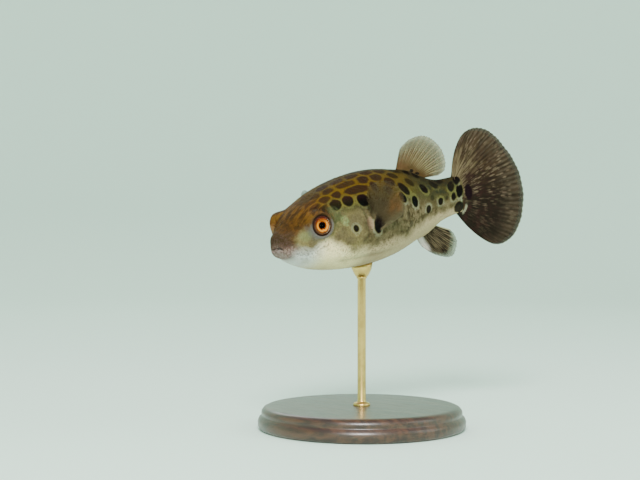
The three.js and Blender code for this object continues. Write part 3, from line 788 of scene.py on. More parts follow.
def prickle_tree():
    """Geometry Nodes that scatter small cones over the skin, leaning along its stored lie."""
    inputs = {"Density": "Float", "Seed": "Int", "Sides": "Int", "Radius": "Float", "Length": "Float"}
    tree, start, end = node_tree("prickles", **inputs, Finish="Material")
    scatter = tree.nodes.new("GeometryNodeDistributePointsOnFaces")
    often = tree.nodes.new("GeometryNodeInputNamedAttribute")
    often.inputs["Name"].default_value = "thickly"
    density = tree.nodes.new("ShaderNodeMath")
    density.operation = "MULTIPLY"
    lying = tree.nodes.new("GeometryNodeInputNamedAttribute")
    lying.data_type = "FLOAT_VECTOR"
    lying.inputs["Name"].default_value = "lie"
    turn = tree.nodes.new("FunctionNodeAlignRotationToVector")
    turn.axis = "Z"
    cone = tree.nodes.new("GeometryNodeMeshCone")
    place = tree.nodes.new("GeometryNodeInputPosition")
    mark = tree.nodes.new("GeometryNodeStoreNamedAttribute")
    mark.data_type = "FLOAT_VECTOR"
    mark.inputs["Name"].default_value = "in_prickle"
    scale = tree.nodes.new("FunctionNodeRandomValue")
    scale.inputs[2].default_value = 0.6
    scale.inputs[3].default_value = 1.2
    plant = tree.nodes.new("GeometryNodeInstanceOnPoints")
    real = tree.nodes.new("GeometryNodeRealizeInstances")
    dress = tree.nodes.new("GeometryNodeSetMaterial")
    for source, target in (
        (start.outputs["Geometry"], scatter.inputs["Mesh"]),
        (often.outputs["Attribute"], density.inputs[0]),
        (start.outputs["Density"], density.inputs[1]),
        (density.outputs[0], scatter.inputs["Density"]),
        (start.outputs["Seed"], scatter.inputs["Seed"]),
        (lying.outputs["Attribute"], turn.inputs["Vector"]),
        (start.outputs["Sides"], cone.inputs["Vertices"]),
        (start.outputs["Radius"], cone.inputs["Radius Bottom"]),
        (start.outputs["Length"], cone.inputs["Depth"]),
        (cone.outputs["Mesh"], mark.inputs["Geometry"]),
        (place.outputs[0], mark.inputs["Value"]),
        (start.outputs["Seed"], scale.inputs["Seed"]),
        (scatter.outputs["Points"], plant.inputs["Points"]),
        (mark.outputs[0], plant.inputs["Instance"]),
        (turn.outputs["Rotation"], plant.inputs["Rotation"]),
        (scale.outputs[1], plant.inputs["Scale"]),
        (plant.outputs[0], real.inputs["Geometry"]),
        (real.outputs[0], dress.inputs["Geometry"]),
        (start.outputs["Finish"], dress.inputs["Material"]),
        (dress.outputs[0], end.inputs["Geometry"]),
    ):
        tree.links.new(source, target)
    return tree


def made_by_nodes(piece, tree, **inputs):
    """Runs a Geometry Nodes tree on a piece and keeps the result as its plain mesh."""
    modifier = piece.modifiers.new(tree.name, "NODES")
    modifier.node_group = tree
    for item in tree.interface.items_tree:
        if item.in_out == "INPUT" and item.name in inputs:
            modifier[item.identifier] = inputs[item.name]
    graph = bpy.context.evaluated_depsgraph_get()
    result = piece.evaluated_get(graph)
    mesh = bpy.data.meshes.new_from_object(result, preserve_all_data_layers=True, depsgraph=graph)
    piece.modifiers.clear()
    mesh.name = piece.name
    piece.data = mesh
    mesh.shade_smooth()
    return piece


prickles = bpy.data.objects.new("prickles", skin.data.copy())
bpy.context.collection.objects.link(prickles)
keep_values(prickles, thickly=thickly)
ends = lie[[0, -1], 0]  # for the skin's two end points
lie_values = np.concatenate([lie.reshape(-1, 3), ends]).astype(np.float32).ravel()
prickles.data.attributes.new("lie", "FLOAT_VECTOR", "POINT").data.foreach_set("vector", lie_values)
made_by_nodes(
    prickles,
    prickle_tree(),
    Density=PRICKLES_PER_MM2 / MM**2,
    Seed=PRICKLE_SEED,
    Sides=PRICKLE_SIDES,
    Radius=PRICKLE_RADIUS * MM,
    Length=PRICKLE_LENGTH * MM,
    Finish=skin_material,
)


def read_values(mesh, name, width=1):
    """A stored attribute of a mesh's points, as a row for each."""
    kind = "vector" if width == 3 else "value"
    numbers = np.empty(len(mesh.vertices) * width, np.float32)
    mesh.attributes[name].data.foreach_get(kind, numbers)
    return numbers.reshape(-1, width)


# Each prickle's patch on the unwrapped skin: its ring along u and its turn round the body along v.
mesh = prickles.data
ring_share = (read_values(mesh, "ring") - ring_list[0]) / (ring_list[-1] - ring_list[0])
turn_share = np.arctan2(read_values(mesh, "round_y"), read_values(mesh, "round_x")) / (2 * math.pi) + 0.5
patch = read_values(mesh, "in_prickle", 3)[:, :2] / (PRICKLE_RADIUS * MM) * BAKE_PATCH / 2
corners = np.empty(len(mesh.loops), np.int32)
mesh.loops.foreach_get("vertex_index", corners)
root_place = np.concatenate([ring_share, turn_share], axis=1) * (1 - 2 * BAKE_PATCH) + BAKE_PATCH
for spare in list(mesh.uv_layers):
    mesh.uv_layers.remove(spare)
places = (root_place + patch)[corners].astype(np.float32).ravel()
mesh.uv_layers.new(name="OFBake").data.foreach_set("uv", places)
for name in ("lie", "thickly", "in_prickle"):
    mesh.attributes.remove(mesh.attributes[name])
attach(prickles, "root")

# ---- The eyes ---------------------------------------------------------------------------------
# Each eyeball is a ball with a flat iris set back behind a clear cornea. The iris is a ring of
# orange and gold round a dark pupil. They are turned about the line of sight.

# Distance from the line of sight and height above the ball's middle, in mm.
EYEBALL_PROFILE = [(0.01, 1.86), (0.95, 1.86), (1.12, 1.98), (1.3, 2.12)]
EYEBALL_PROFILE += [(1.8, 2.22), (2.2, 2.22), (2.42, 2.2)]
EYEBALL_RINGS = 26
CORNEA_EDGE = 2.6
CORNEA_BULGE = 0.22
CORNEA_WALL = 0.08
EYE_SEGMENTS = 72


def about_sight(profile, side):
    """A grid of points from a profile turned about one eye's line of sight, with its own x and y."""
    sight = line_of_sight(side)
    forward = np.cross(np.cross(sight, [1.0, 0, 0]), sight)
    forward /= np.linalg.norm(forward)
    upward = np.cross(forward, sight) * side
    angle = np.linspace(0, 2 * math.pi, EYE_SEGMENTS, endpoint=False)
    distance, height = np.array(profile).T[..., None]
    middle = np.array([EYE_MIDDLE[0], side * EYE_MIDDLE[1], EYE_MIDDLE[2]])
    iris_x, iris_y = distance * np.cos(angle), distance * np.sin(angle)
    points = middle + height[..., None] * sight + iris_x[..., None] * forward + iris_y[..., None] * upward
    return placed(*np.moveaxis(points, -1, 0)), iris_x, iris_y


def ball_height(distance):
    return math.sqrt(max(EYE_RADIUS**2 - distance**2, 0))


def eye_finish():
    f = Finish("puffer_iris")
    x, y = f.attribute("iris_x"), f.attribute("iris_y")
    radius = f.maths("SQRT", x * x + y * y)
    round_iris = f.vector(x / (radius + 0.05) * 3.4, y / (radius + 0.05) * 3.4, radius * 0.7)
    spoke = f.noise(round_iris, 1.0, 3.0, 0.6)
    # the pupil has a small notch at its lower edge
    notch = f.rise(y, -0.2, -0.9) * f.rise(f.maths("ABSOLUTE", x), 0.28, 0.05)
    wobble = radius + (spoke - 0.5) * 0.2 + notch * 0.2
    # painted shade: the iris ring is darker towards its top, under the brow
    upper = f.rise(y, 0.3, 1.9)
    gold = f.mix(upper, paint(186, 120, 34), paint(112, 52, 14))
    colour = f.mix(f.rise(wobble, 0.9, 1.03), paint(4, 4, 3), paint(52, 20, 4))
    colour = f.mix(f.rise(wobble, 1.0, 1.28), colour, paint(150, 66, 8))
    colour = f.mix(f.rise(wobble, 1.2, 1.45), colour, gold)
    colour = f.mix(f.rise(wobble, 1.76, 1.96), colour, paint(120, 50, 10))
    colour = f.mix(f.rise(wobble, 1.94, 2.16), colour, f.mix(upper, paint(78, 50, 30), paint(70, 30, 20)))
    colour = f.mix(f.rise(wobble, 2.45, 2.75), colour, paint(42, 28, 24))
    return f.surface(
        base_color=colour,
        roughness=0.4,
        specular_ior_level=0.0,
        normal=f.bump(spoke, 0.04),
    )


def cornea_finish():
    f = Finish("puffer_cornea")
    mirror = f.node("BsdfPrincipled", {}, {"Base Color": (1, 1, 1, 1), "Metallic": 1.0, "Roughness": 0.04})
    clear = f.node("BsdfTransparent")
    share = Value(f, f.node("Fresnel", {}, {"IOR": 1.12}).outputs[0])
    shaders = {1: Value(f, clear.outputs[0]), 2: Value(f, mirror.outputs[0])}
    blend = f.node("MixShader", {}, {0: share * 0.22, **shaders})
    f.show(Value(f, blend.outputs[0]))
    return f.material


iris_material = eye_finish()
cornea_material = cornea_finish()
for side, name in ((1, "left"), (-1, "right")):
    turns = np.linspace(math.asin(2.5 / EYE_RADIUS), math.pi - 0.02, EYEBALL_RINGS)
    ball = [(EYE_RADIUS * math.sin(t), EYE_RADIUS * math.cos(t)) for t in turns]
    grid, iris_x, iris_y = about_sight(EYEBALL_PROFILE + ball, side)
    eyeball = shell(f"eyeball_{name}", grid)
    keep_values(eyeball, iris_x=iris_x, iris_y=iris_y)
    eyeball.data.materials.append(iris_material)
    dome = []
    for distance in np.linspace(0.02, CORNEA_EDGE, 12):
        bulge = CORNEA_BULGE * (1 - (distance / CORNEA_EDGE) ** 2)
        dome.append((distance, ball_height(distance) + bulge + 0.01))
    back = [(distance, height - CORNEA_WALL) for distance, height in reversed(dome)]
    cornea = shell(f"cornea_{name}", about_sight(dome + back, side)[0])
    cornea.data.materials.append(cornea_material)
    for piece in (eyeball, cornea):
        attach(piece, "root")
    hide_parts(f"eye_{name}")

# ---- The fins ---------------------------------------------------------------------------------
# Each fin is a thin, slightly pleated membrane on soft rays that fork towards the edge, where the
# membrane is scalloped between their tips. Rays leave the root at an angle above the tailward
# direction and turn a little on the way.

DORSAL_RAYS = [
    # place in the fin, root station, degrees, length, turn in degrees
    (0.0, 55.0, 80, 7.0, -16),
    (0.15, 56.2, 66, 11.4, -16),
    (0.35, 58.0, 53, 14.2, -12),
    (0.6, 60.3, 37, 14.0, -8),
    (0.8, 62.2, 21, 11.8, -6),
    (0.92, 63.4, 7, 9.2, -4),
    (1.0, 64.0, -2, 6.2, 0),
]
ANAL_RAYS = [
    (0.0, 59.2, -72, 4.0, 16),
    (0.2, 60.5, -64, 9.4, 16),
    (0.5, 62.5, -55, 13.2, 12),
    (0.75, 64.3, -45, 12.2, 6),
    (0.9, 65.5, -36, 10.0, 4),
    (1.0, 66.3, -24, 6.0, 0),
]
CAUDAL_RAYS = [
    # place in the fin, root height, degrees, length, turn in degrees
    (0.0, 6.1, 90, 8.6, -24),
    (0.08, 5.5, 78, 15.8, -26),
    (0.2, 4.0, 58, 20.8, -22),
    (0.35, 2.0, 33, 22.8, -12),
    (0.5, 0.0, 8, 24.4, 0),
    (0.65, -2.0, -17, 24.8, 6),
    (0.8, -4.0, -41, 23.4, 14),
    (0.92, -5.4, -59, 18.0, 22),
    (1.0, -6.0, -67, 8.0, 22),
]
LEFT_PECTORAL_RAYS = [
    # place in the fin, root station, root height, tip tailward, outward and up
    (0.0, 29.4, 1.8, -3.2, 1.8, 6.2),
    (0.25, 29.6, 0.8, -2.4, 3.0, 11.2),
    (0.5, 29.9, -0.3, 3.6, 4.0, 12.4),
    (0.75, 30.3, -1.4, 8.6, 4.2, 9.4),
    (1.0, 30.7, -2.6, 8.8, 3.6, 3.8),
]
RIGHT_PECTORAL_RAYS = [
    (0.0, 29.4, 1.8, -2.6, 1.8, 5.0),
    (0.25, 29.6, 0.8, -2.4, 3.4, 8.8),
    (0.5, 29.9, -0.3, 1.2, 4.6, 10.8),
    (0.75, 30.3, -1.4, 5.6, 4.4, 7.6),
    (1.0, 30.7, -2.6, 6.2, 3.6, 3.4),
]
FIN_ROOT_DEPTH = 1.5
PECTORAL_BULGE = 0.8
SHOULDER = {"station": 30.2, "height": -2.2, "reach_along": 2.4, "reach_across": 3.4, "rise": 0.95}


def arc_point(station, height, degrees, length, turn, reach, start):
    distance = start + (length - start) * reach
    bend = np.radians(degrees + turn * distance / length / 2)
    return station + distance * np.cos(bend), height + distance * np.sin(bend), distance


def median(ray_table, turn):
    """Where a fin of the middle plane lies, rooted at radians down from the back."""

    def point(across, reach):
        station, degrees, length, bend = np.moveaxis(along(ray_table, across), -1, 0)
        foot = section(station, np.full_like(station, turn))[2]
        s, h, distance = arc_point(station, foot, degrees, length, bend, reach, -FIN_ROOT_DEPTH)
        return placed(s, 0, h), distance

    return point


dorsal = median(DORSAL_RAYS, 0.0)
anal = median(ANAL_RAYS, math.pi)


def caudal(across, reach):
    height, degrees, length, turn = np.moveaxis(along(CAUDAL_RAYS, across), -1, 0)
    s, h, distance = arc_point(BODY_LENGTH + 0.3, height, degrees, length, turn, reach, 0.0)
    return placed(s, 0, h), distance


def flank_width(station, height):
    _, width, top, bottom, widest, above, below = np.moveaxis(along(BODY_SECTIONS, station), -1, 0)
    upper = height >= widest
    share = np.clip(np.abs(height - widest) / np.where(upper, top - widest, widest - bottom), 0, 1)
    power = np.where(upper, above, below)
    return width * (1 - share**power) ** (1 / power)


def pectoral(rays, side):
    def point(across, reach):
        station, height, tailward, outward, up = np.moveaxis(along(rays, across), -1, 0)
        along_shoulder = (station - SHOULDER["station"]) / SHOULDER["reach_along"]
        across_shoulder = (height - SHOULDER["height"]) / SHOULDER["reach_across"]
        rise = SHOULDER["rise"] * bump_shape(np.hypot(along_shoulder, across_shoulder))
        root = flank_width(station, height) + rise - FIN_ROOT_DEPTH / 2
        left = side * (root + outward * reach + PECTORAL_BULGE * np.sin(math.pi * reach))
        length = np.sqrt(tailward**2 + outward**2 + up**2)
        return placed(station + tailward * reach, left, height + up * reach), length * reach

    return point


class Fin:
    """One fin's size and build: where its points lie, and how many rays it has and how they fork."""

    def __init__(self, name, node, slot, point, rays, forks, **sizes):
        self.name, self.node, self.slot, self.point = name, node, slot, point
        self.rays, self.forks = rays, forks
        self.grid = sizes["grid"]
        self.root = sizes["root"]  # half thickness added at the root, in mm
        self.ray_radius = sizes["ray_radius"]
        self.pleat = sizes["pleat"]
        self.scallop = sizes["scallop"]
        self.wave = sizes["wave"]  # height in mm, and how many waves across

    def surface_point(self, across, reach, lift=0.0):
        """A point of the pleated, waving middle surface, lifted off it by lift mm."""
        across, reach = np.broadcast_arrays(np.asarray(across, float), np.asarray(reach, float))
        step = 0.004
        span = 0.08  # wide, so that two nearly parallel end rays can't turn the normal over
        a = np.clip(across, span, 1 - span)
        r = np.clip(reach, step, 1 - step)
        sideways = self.point(a + span, r)[0] - self.point(a - span, r)[0]
        outward = self.point(a, r + step)[0] - self.point(a, r - step)[0]
        normal = np.cross(sideways, outward)
        normal /= np.linalg.norm(normal, axis=-1, keepdims=True) + 1e-12
        height, waves = self.wave
        shift = self.pleat * np.cos(2 * math.pi * self.rays * across) * smooth(reach, 0.15, 0.8)
        shift = shift + height * np.sin(2 * math.pi * waves * across + 2.2 * reach) * reach**2
        point, distance = self.point(across, reach)
        return point + normal * ((shift + lift) * MM)[..., None], distance


MEMBRANE_HALF = 0.07
ROOT_FADE = 1.5
RAY_STEPS = 26


def membrane(fin, finish):
    """The fin's skin: two sheets joined at the edge, thick where they leave the body."""
    count, steps = fin.grid
    across, reach = np.meshgrid(np.linspace(0, 1, count), np.linspace(0, 1, steps), indexing="ij")
    tips = fin.rays * fin.forks
    notch = 0.5 - 0.5 * np.cos(2 * math.pi * tips * across)
    cut = reach * (1 - fin.scallop * notch * smooth(reach, 0.6, 1.0))
    _, distance = fin.surface_point(across, cut)
    half = MEMBRANE_HALF * (1 - 0.6 * smooth(reach, 0.8, 1.0))
    half = half + fin.root * np.exp(-np.maximum(distance, 0) / ROOT_FADE)
    near, _ = fin.surface_point(across, cut, half)
    far, _ = fin.surface_point(across, cut, -half)
    loop = np.concatenate([near, far[:, ::-1]], axis=1)
    piece = shell(fin.name, loop, capped=False)
    close_ends(piece, loop.shape)
    values = {"across": across, "reach": cut, "distance": distance}
    keep_values(piece, **{k: np.concatenate([v, v[:, ::-1]], axis=1) for k, v in values.items()})
    piece.data.materials.append(finish)
    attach(piece, "root")
    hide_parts(fin.node)
    return piece


def close_ends(piece, shape):
    """Joins the two sheets across a membrane's first and last rays."""
    rows, around = shape[:2]
    half = around // 2
    cut = bmesh.new()
    cut.from_mesh(piece.data)
    cut.verts.ensure_lookup_table()
    for row in (0, rows - 1):
        start = row * around
        for k in range(half - 1):
            corners = [start + k, start + k + 1, start + around - 2 - k, start + around - 1 - k]
            cut.faces.new([cut.verts[i] for i in corners])
    bmesh.ops.recalc_face_normals(cut, faces=cut.faces)
    cut.to_mesh(piece.data)
    cut.free()
    piece.data.shade_smooth()


def forked_paths(fin):
    """Each ray and its branches as a place across the fin and a stretch of its length."""
    gap = 1 / fin.rays
    split, last_split = 0.34, 0.68
    for ray in range(fin.rays):
        middle = (ray + 0.5) * gap
        first = [0.0] if fin.forks == 1 else [-0.25, 0.25]
        stem_end = 1.0 if fin.forks == 1 else split + 0.02
        yield lambda r, m=middle: m + 0 * r, 0.0, stem_end, 1.0
        if fin.forks == 1:
            continue
        end = 1.0 if fin.forks == 2 else last_split + 0.02
        for way in first:
            branch = lambda r, m=middle, w=way: m + w * gap * smooth(r, split - 0.02, 0.9)
            yield branch, split, end, 0.75
            if fin.forks == 4:
                for fork in (-0.125, 0.125):
                    twig = lambda r, b=branch, k=fork: b(r) + k * gap * smooth(r, last_split - 0.02, 1.05)
                    yield twig, last_split, 1.0, 0.55


def ray_tree():
    """Geometry Nodes that turn a ray's line into a tapering rod, by its stored thickness."""
    tree, start, end = node_tree("fin_rays", Sides="Int", Finish="Material")
    lines = tree.nodes.new("GeometryNodeMeshToCurve")
    outline = tree.nodes.new("GeometryNodeCurvePrimitiveCircle")
    outline.inputs["Radius"].default_value = MM
    thickness = tree.nodes.new("GeometryNodeInputNamedAttribute")
    thickness.inputs["Name"].default_value = "thickness"
    rod = tree.nodes.new("GeometryNodeCurveToMesh")
    rod.inputs["Fill Caps"].default_value = True
    real = tree.nodes.new("GeometryNodeRealizeInstances")
    dress = tree.nodes.new("GeometryNodeSetMaterial")
    for source, target in (
        (start.outputs["Geometry"], lines.inputs["Mesh"]),
        (start.outputs["Sides"], outline.inputs["Resolution"]),
        (lines.outputs[0], rod.inputs["Curve"]),
        (outline.outputs[0], rod.inputs["Profile Curve"]),
        (thickness.outputs["Attribute"], rod.inputs["Scale"]),
        (rod.outputs[0], real.inputs["Geometry"]),
        (real.outputs[0], dress.inputs["Geometry"]),
        (start.outputs["Finish"], dress.inputs["Material"]),
        (dress.outputs[0], end.inputs["Geometry"]),
    ):
        tree.links.new(source, target)
    return tree


fin_rays = ray_tree()


def rays(fin, finish):
    """The fin's forked rays as one piece of raised rods, seen from both sides."""
    vertices, edges, values = [], [], {"thickness": [], "across": [], "reach": [], "distance": []}
    for path, low, high, share in forked_paths(fin):
        reach = np.linspace(low, min(high, 0.985), max(4, round(RAY_STEPS * (high - low))))
        across = path(reach)
        points, distance = fin.surface_point(across, reach)
        first = len(vertices)
        vertices += points.tolist()
        edges += [(first + k, first + k + 1) for k in range(len(points) - 1)]
        taper = fin.ray_radius * share * (1 - 0.6 * reach) * smooth(reach, 1.06, 0.9)
        values["thickness"] += taper.tolist()
        for key, numbers in (("across", across), ("reach", reach), ("distance", distance)):
            values[key] += numbers.tolist()
    mesh = bpy.data.meshes.new(f"{fin.name}_rays")
    mesh.from_pydata(vertices, edges, [])
    piece = bpy.data.objects.new(f"{fin.name}_rays", mesh)
    bpy.context.collection.objects.link(piece)
    keep_values(piece, **values)
    made_by_nodes(piece, fin_rays, Sides=6, Finish=finish)
    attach(piece, "root")
    return piece


def fin_finish(fin, colours):
    """A fin's finish, from the colours and the solidity of its membrane and rays."""
    f = Finish(fin.name)
    across, reach, distance = f.attribute("across"), f.attribute("reach"), f.attribute("distance")
    point = f.place()
    blotch = f.noise(point, 2.4, 3.0, 0.55)
    speck = f.noise(point, 0.6, 3.0, 0.6)
    ribs = f.maths("COSINE", across * (2 * math.pi * fin.rays * fin.forks)) * -0.5 + 0.5
    colour, solid = colours(f, across, reach, distance, blotch, speck, ribs)
    return f.surface(
        base_color=colour,
        roughness=0.5,
        alpha=solid,
        specular_ior_level=0.02,
        normal=f.bump(ribs, 0.05),
    )


CAUDAL_DARK = paint(27, 22, 16)
CAUDAL_RED = paint(44, 26, 23)
CAUDAL_TAN = paint(106, 92, 68)
CAUDAL_GREY = paint(58, 47, 36)
CAUDAL_FLECK = paint(104, 88, 70)
CAUDAL_MARGIN = paint(84, 74, 60)
CREAM = paint(176, 172, 136)


def caudal_colours(f, across, reach, distance, blotch, speck, ribs):
    streak = f.noise(f.vector(across * 60, distance * 0.16), 1.0, 2.0, 0.5)
    fine = f.noise(f.vector(across * 150, distance * 0.5), 1.0, 2.0, 0.5)
    colour = f.mix(f.rise(across + (blotch - 0.5) * 0.5, 0.32, 0.6), CAUDAL_BROWN, CAUDAL_DARK)
    outer = f.rise(reach + (blotch - 0.5) * 0.4, 0.6, 0.95)
    colour = f.mix(outer * 0.75, colour, CAUDAL_GREY)
    colour = f.mix(f.rise(blotch, 0.42, 0.62, 0.7) * f.rise(distance, 22, 8), colour, CAUDAL_RED)
    colour = f.mix(f.rise(streak * 0.6 + fine * 0.4, 0.42, 0.6, 0.7), colour, CAUDAL_DARK)
    leading = f.rise(across + (blotch - 0.5) * 0.2 + (streak - 0.5) * 0.2, 0.4, 0.16)
    leading = leading * f.rise(reach, 0.8, 0.25)
    at_root = f.rise(distance + (streak - 0.5) * 5, 6.0, 2.5)
    at_root = at_root * f.rise(across + (blotch - 0.5) * 0.2, 0.68, 0.52)
    tan_share = f.maths("MAXIMUM", leading * 0.85, at_root * 0.7)
    colour = f.mix(tan_share, colour, f.mix(f.rise(streak, 0.4, 0.66), CAUDAL_TAN, CAUDAL_BROWN))
    dash = f.cells(f.vector(across * 78, distance * 0.42), 1.0, "F1", 1.0)
    patchy = f.rise(f.noise(f.vector(across * 8, distance * 0.22), 1.0, 2.0), 0.36, 0.62)
    middle = f.rise(across, 0.86, 0.5, 0.8) + 0.2
    dashes = f.rise(dash + (speck - 0.5) * 0.6, 0.56, 0.2) * patchy * f.rise(distance, 2.5, 6.0) * middle
    colour = f.mix(dashes * f.rise(reach, 1.0, 0.82) * 0.6, colour, CAUDAL_FLECK)
    edge_ribs = f.rise(reach + (blotch - 0.5) * 0.6, 0.55, 1.0) * f.rise(ribs * 0.5 + fine, 0.6, 1.0)
    colour = f.mix(edge_ribs * f.rise(across, 1.05, 0.5, 0.45), colour, CAUDAL_MARGIN)
    rim = f.rise(across, 0.5, 0.8, 0.4) + 0.1
    colour = f.mix(f.rise(reach, 0.982, 0.996) * rim, colour, CREAM)
    # a dark blot and a cream crescent at the root
    blot = (distance - 4.9) ** 2.0 / 1.7 + (across - 0.52) ** 2.0 / 0.009
    colour = f.mix(f.rise(blot + (speck - 0.5), 1.4, 0.7), colour, paint(20, 10, 13))
    crescent = (distance - 3.2 + (across - 0.76) * 8) ** 2.0 / 0.4 + (across - 0.76) ** 2.0 / 0.011
    colour = f.mix(f.rise(crescent + (speck - 0.5) * 2.0, 1.3, 0.2, 0.5), colour, paint(150, 148, 122))
    return colour, 1.0 - f.rise(reach, 0.88, 1.0, 0.24)


def dorsal_colours(f, across, reach, distance, blotch, speck, ribs):
    streak = f.noise(f.vector(across * 30, distance * 0.12), 1.0, 2.0, 0.5)
    colour = f.mix(f.rise(streak * 0.6 + ribs * 0.4, 0.3, 0.7), paint(78, 64, 40), paint(116, 104, 74))
    colour = f.mix(f.rise(distance + (blotch - 0.5) * 3, 6.0, 1.6, 0.9), colour, paint(62, 44, 22))
    rusty = f.rise(across, 0.75, 0.15) * f.rise(reach, 0.9, 0.45) * f.rise(blotch, 0.36, 0.56)
    colour = f.mix(rusty * 0.65, colour, paint(90, 65, 42))
    colour = f.mix(f.rise(reach, 0.84, 0.98, 0.5), colour, paint(150, 150, 126))
    for place, height in ((0.5, 1.5), (0.7, 1.4)):
        spot = (across - place) ** 2.0 / 0.0042 + (distance - height) ** 2.0 / 0.42
        colour = f.mix(f.rise(spot + (speck - 0.5), 1.4, 0.5, 0.95), colour, paint(24, 18, 12))
    return colour, 0.95 - f.rise(reach, 0.2, 0.95, 0.3)


def anal_colours(f, across, reach, distance, blotch, speck, ribs):
    streak = f.noise(f.vector(across * 22, distance * 0.25), 1.0, 3.0, 0.6)
    grain = streak * 0.7 + ribs * 0.15 + blotch * 0.15
    colour = f.mix(f.rise(grain, 0.42, 0.62), paint(30, 24, 17), paint(88, 76, 57))
    pale = f.rise(reach + (blotch - 0.5) * 0.3, 0.76, 0.96) * (f.rise(across, 0.3, 0.7, 0.4) + 0.6)
    colour = f.mix(pale * 0.8, colour, paint(128, 134, 112))
    front = f.rise(across + reach * 0.1 + (blotch - 0.5) * 0.15, 0.34, 0.14) * f.rise(distance, 8.5, 4.5)
    colour = f.mix(front, colour, paint(188, 178, 168))
    colour = f.mix(f.rise(across, 0.965, 0.99, 0.7), colour, CREAM)
    return colour, 0.97 - f.rise(reach, 0.75, 1.0, 0.45)


def pectoral_colours(f, across, reach, distance, blotch, speck, ribs):
    streak = f.noise(f.vector(across * 40, distance * 0.2), 1.0, 2.0, 0.5)
    colour = f.mix(f.rise(streak * 0.6 + ribs * 0.4, 0.34, 0.66), paint(48, 39, 27), paint(70, 58, 40))
    colour = f.mix(f.rise(across, 0.78, 0.98, 0.5), colour, paint(92, 84, 62))
    middle = f.rise(f.maths("ABSOLUTE", across - 0.78 + (blotch - 0.5) * 0.3), 0.2, 0.05)
    rusty = middle * f.rise(distance, 4.0, 8.0) * f.rise(streak, 0.35, 0.6)
    colour = f.mix(rusty * f.rise(reach, 1.0, 0.85, 0.75), colour, paint(104, 64, 30))
    root = f.rise(distance + (blotch - 0.5) * 2, 3.6, 1.6)
    middle = f.rise(across, 0.34, 0.46) * f.rise(across, 0.95, 0.85)
    colour = f.mix(root, colour, f.mix(middle, paint(86, 74, 54), paint(22, 16, 13)))
    return colour, 0.86 - f.rise(distance, 3.0, 10.0, 0.3) - f.rise(reach, 0.7, 1.0, 0.3)


CAUDAL = {
    "grid": (321, 60),
    "root": 1.3,
    "ray_radius": 0.26,
    "pleat": 0.12,
    "scallop": 0.008,
    "wave": (0.45, 1.5),
}
DORSAL = {
    "grid": (193, 44),
    "root": 0.8,
    "ray_radius": 0.17,
    "pleat": 0.1,
    "scallop": 0.012,
    "wave": (0.25, 1.0),
}
ANAL = {
    "grid": (177, 44),
    "root": 0.8,
    "ray_radius": 0.18,
    "pleat": 0.12,
    "scallop": 0.015,
    "wave": (0.3, 1.2),
}
PECTORAL = {
    "grid": (193, 40),
    "root": 0.6,
    "ray_radius": 0.12,
    "pleat": 0.08,
    "scallop": 0.01,
    "wave": (0.2, 1.0),
}
left_point = pectoral(LEFT_PECTORAL_RAYS, 1)
right_point = pectoral(RIGHT_PECTORAL_RAYS, -1)
for node, slot, point, ray_count, forks, sizes, colours in (
    ("caudal_fin", "dark_fin", caudal, 10, 4, CAUDAL, caudal_colours),
    ("dorsal_fin", "pale_fin", dorsal, 12, 2, DORSAL, dorsal_colours),
    ("anal_fin", "dark_fin", anal, 11, 2, ANAL, anal_colours),
    ("pectoral_fin_left", "pale_fin", left_point, 16, 2, PECTORAL, pectoral_colours),
    ("pectoral_fin_right", "pale_fin", right_point, 16, 2, PECTORAL, pectoral_colours),
):
    fin = Fin(f"{node}_skin", node, slot, point, ray_count, forks, **sizes)
    finish = fin_finish(fin, colours)
    membrane(fin, finish)
    rays(fin, finish)

# ---- The stand --------------------------------------------------------------------------------
# A turned hardwood base with a brass rod screwed into it. The rod carries a small brass cup,
# spun thin, whose lip follows the belly.

BASE_HEIGHT = 7.0
BASE_PROFILE = [
    (0.01, 0.0), (30.6, 0.0), (31.4, 0.35), (31.9, 1.1), (32.0, 2.6), (31.6, 3.6), (30.9, 4.1), (30.7, 4.5),
    (30.9, 4.9), (30.8, 5.7), (30.2, 6.5), (29.2, 6.95), (28.2, 7.0), (0.01, 7.0),
]
ROD_RADIUS = 1.3
CUP_FOOT, CUP_MOUTH, CUP_WALL = 1.9, 3.4, 0.5


def turned_rings(profile, segments):
    """Rings about the upright axis, in metres, from distances and heights in mm."""
    distance, height = np.array(profile, float).T[..., None]
    angle = np.linspace(0, 2 * math.pi, segments, endpoint=False)
    return np.stack([distance * np.cos(angle), distance * np.sin(angle), height + 0 * angle], -1) * MM


def turned(name, profile, segments):
    """A piece turned on the lathe."""
    return shell(name, turned_rings(profile, segments))


def wood_finish():
    f = Finish("dark_hardwood")
    point = f.place((1.0, 0.09, 1.0))
    ring = f.noise(point, 1.6, 3.0, 0.6, 0.4)
    pore = f.noise(f.place((1.0, 0.05, 1.0)), 0.3, 2.0, 0.6)
    colour = f.mix(f.rise(ring, 0.35, 0.65), paint(74, 46, 30), paint(44, 27, 19))
    colour = f.mix(f.rise(pore, 0.6, 0.72, 0.6), colour, paint(24, 15, 11))
    return f.surface(
        base_color=colour,
        roughness=0.38 + (pore - 0.5) * 0.25,
        normal=f.bump(pore * -1.0, 0.05),
        coat_weight=0.3,
        coat_roughness=0.2,
    )


def brass_finish():
    f = Finish("brushed_brass")
    brush = f.noise(f.place((1.0, 1.0, 14.0)), 0.9, 2.0, 0.6)
    tarnish = f.noise(f.place(), 4.0, 3.0, 0.6)
    colour = f.mix(f.rise(tarnish, 0.4, 0.7, 0.5), paint(214, 178, 106), paint(168, 130, 72))
    roughness = 0.26 + brush * 0.16
    return f.surface(base_color=colour, metallic=1.0, roughness=roughness, normal=f.bump(brush, 0.01))


base = turned("turned_base", BASE_PROFILE, 144)
base.data.materials.append(wood_finish())
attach(base, "root")
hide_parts("stand_base")

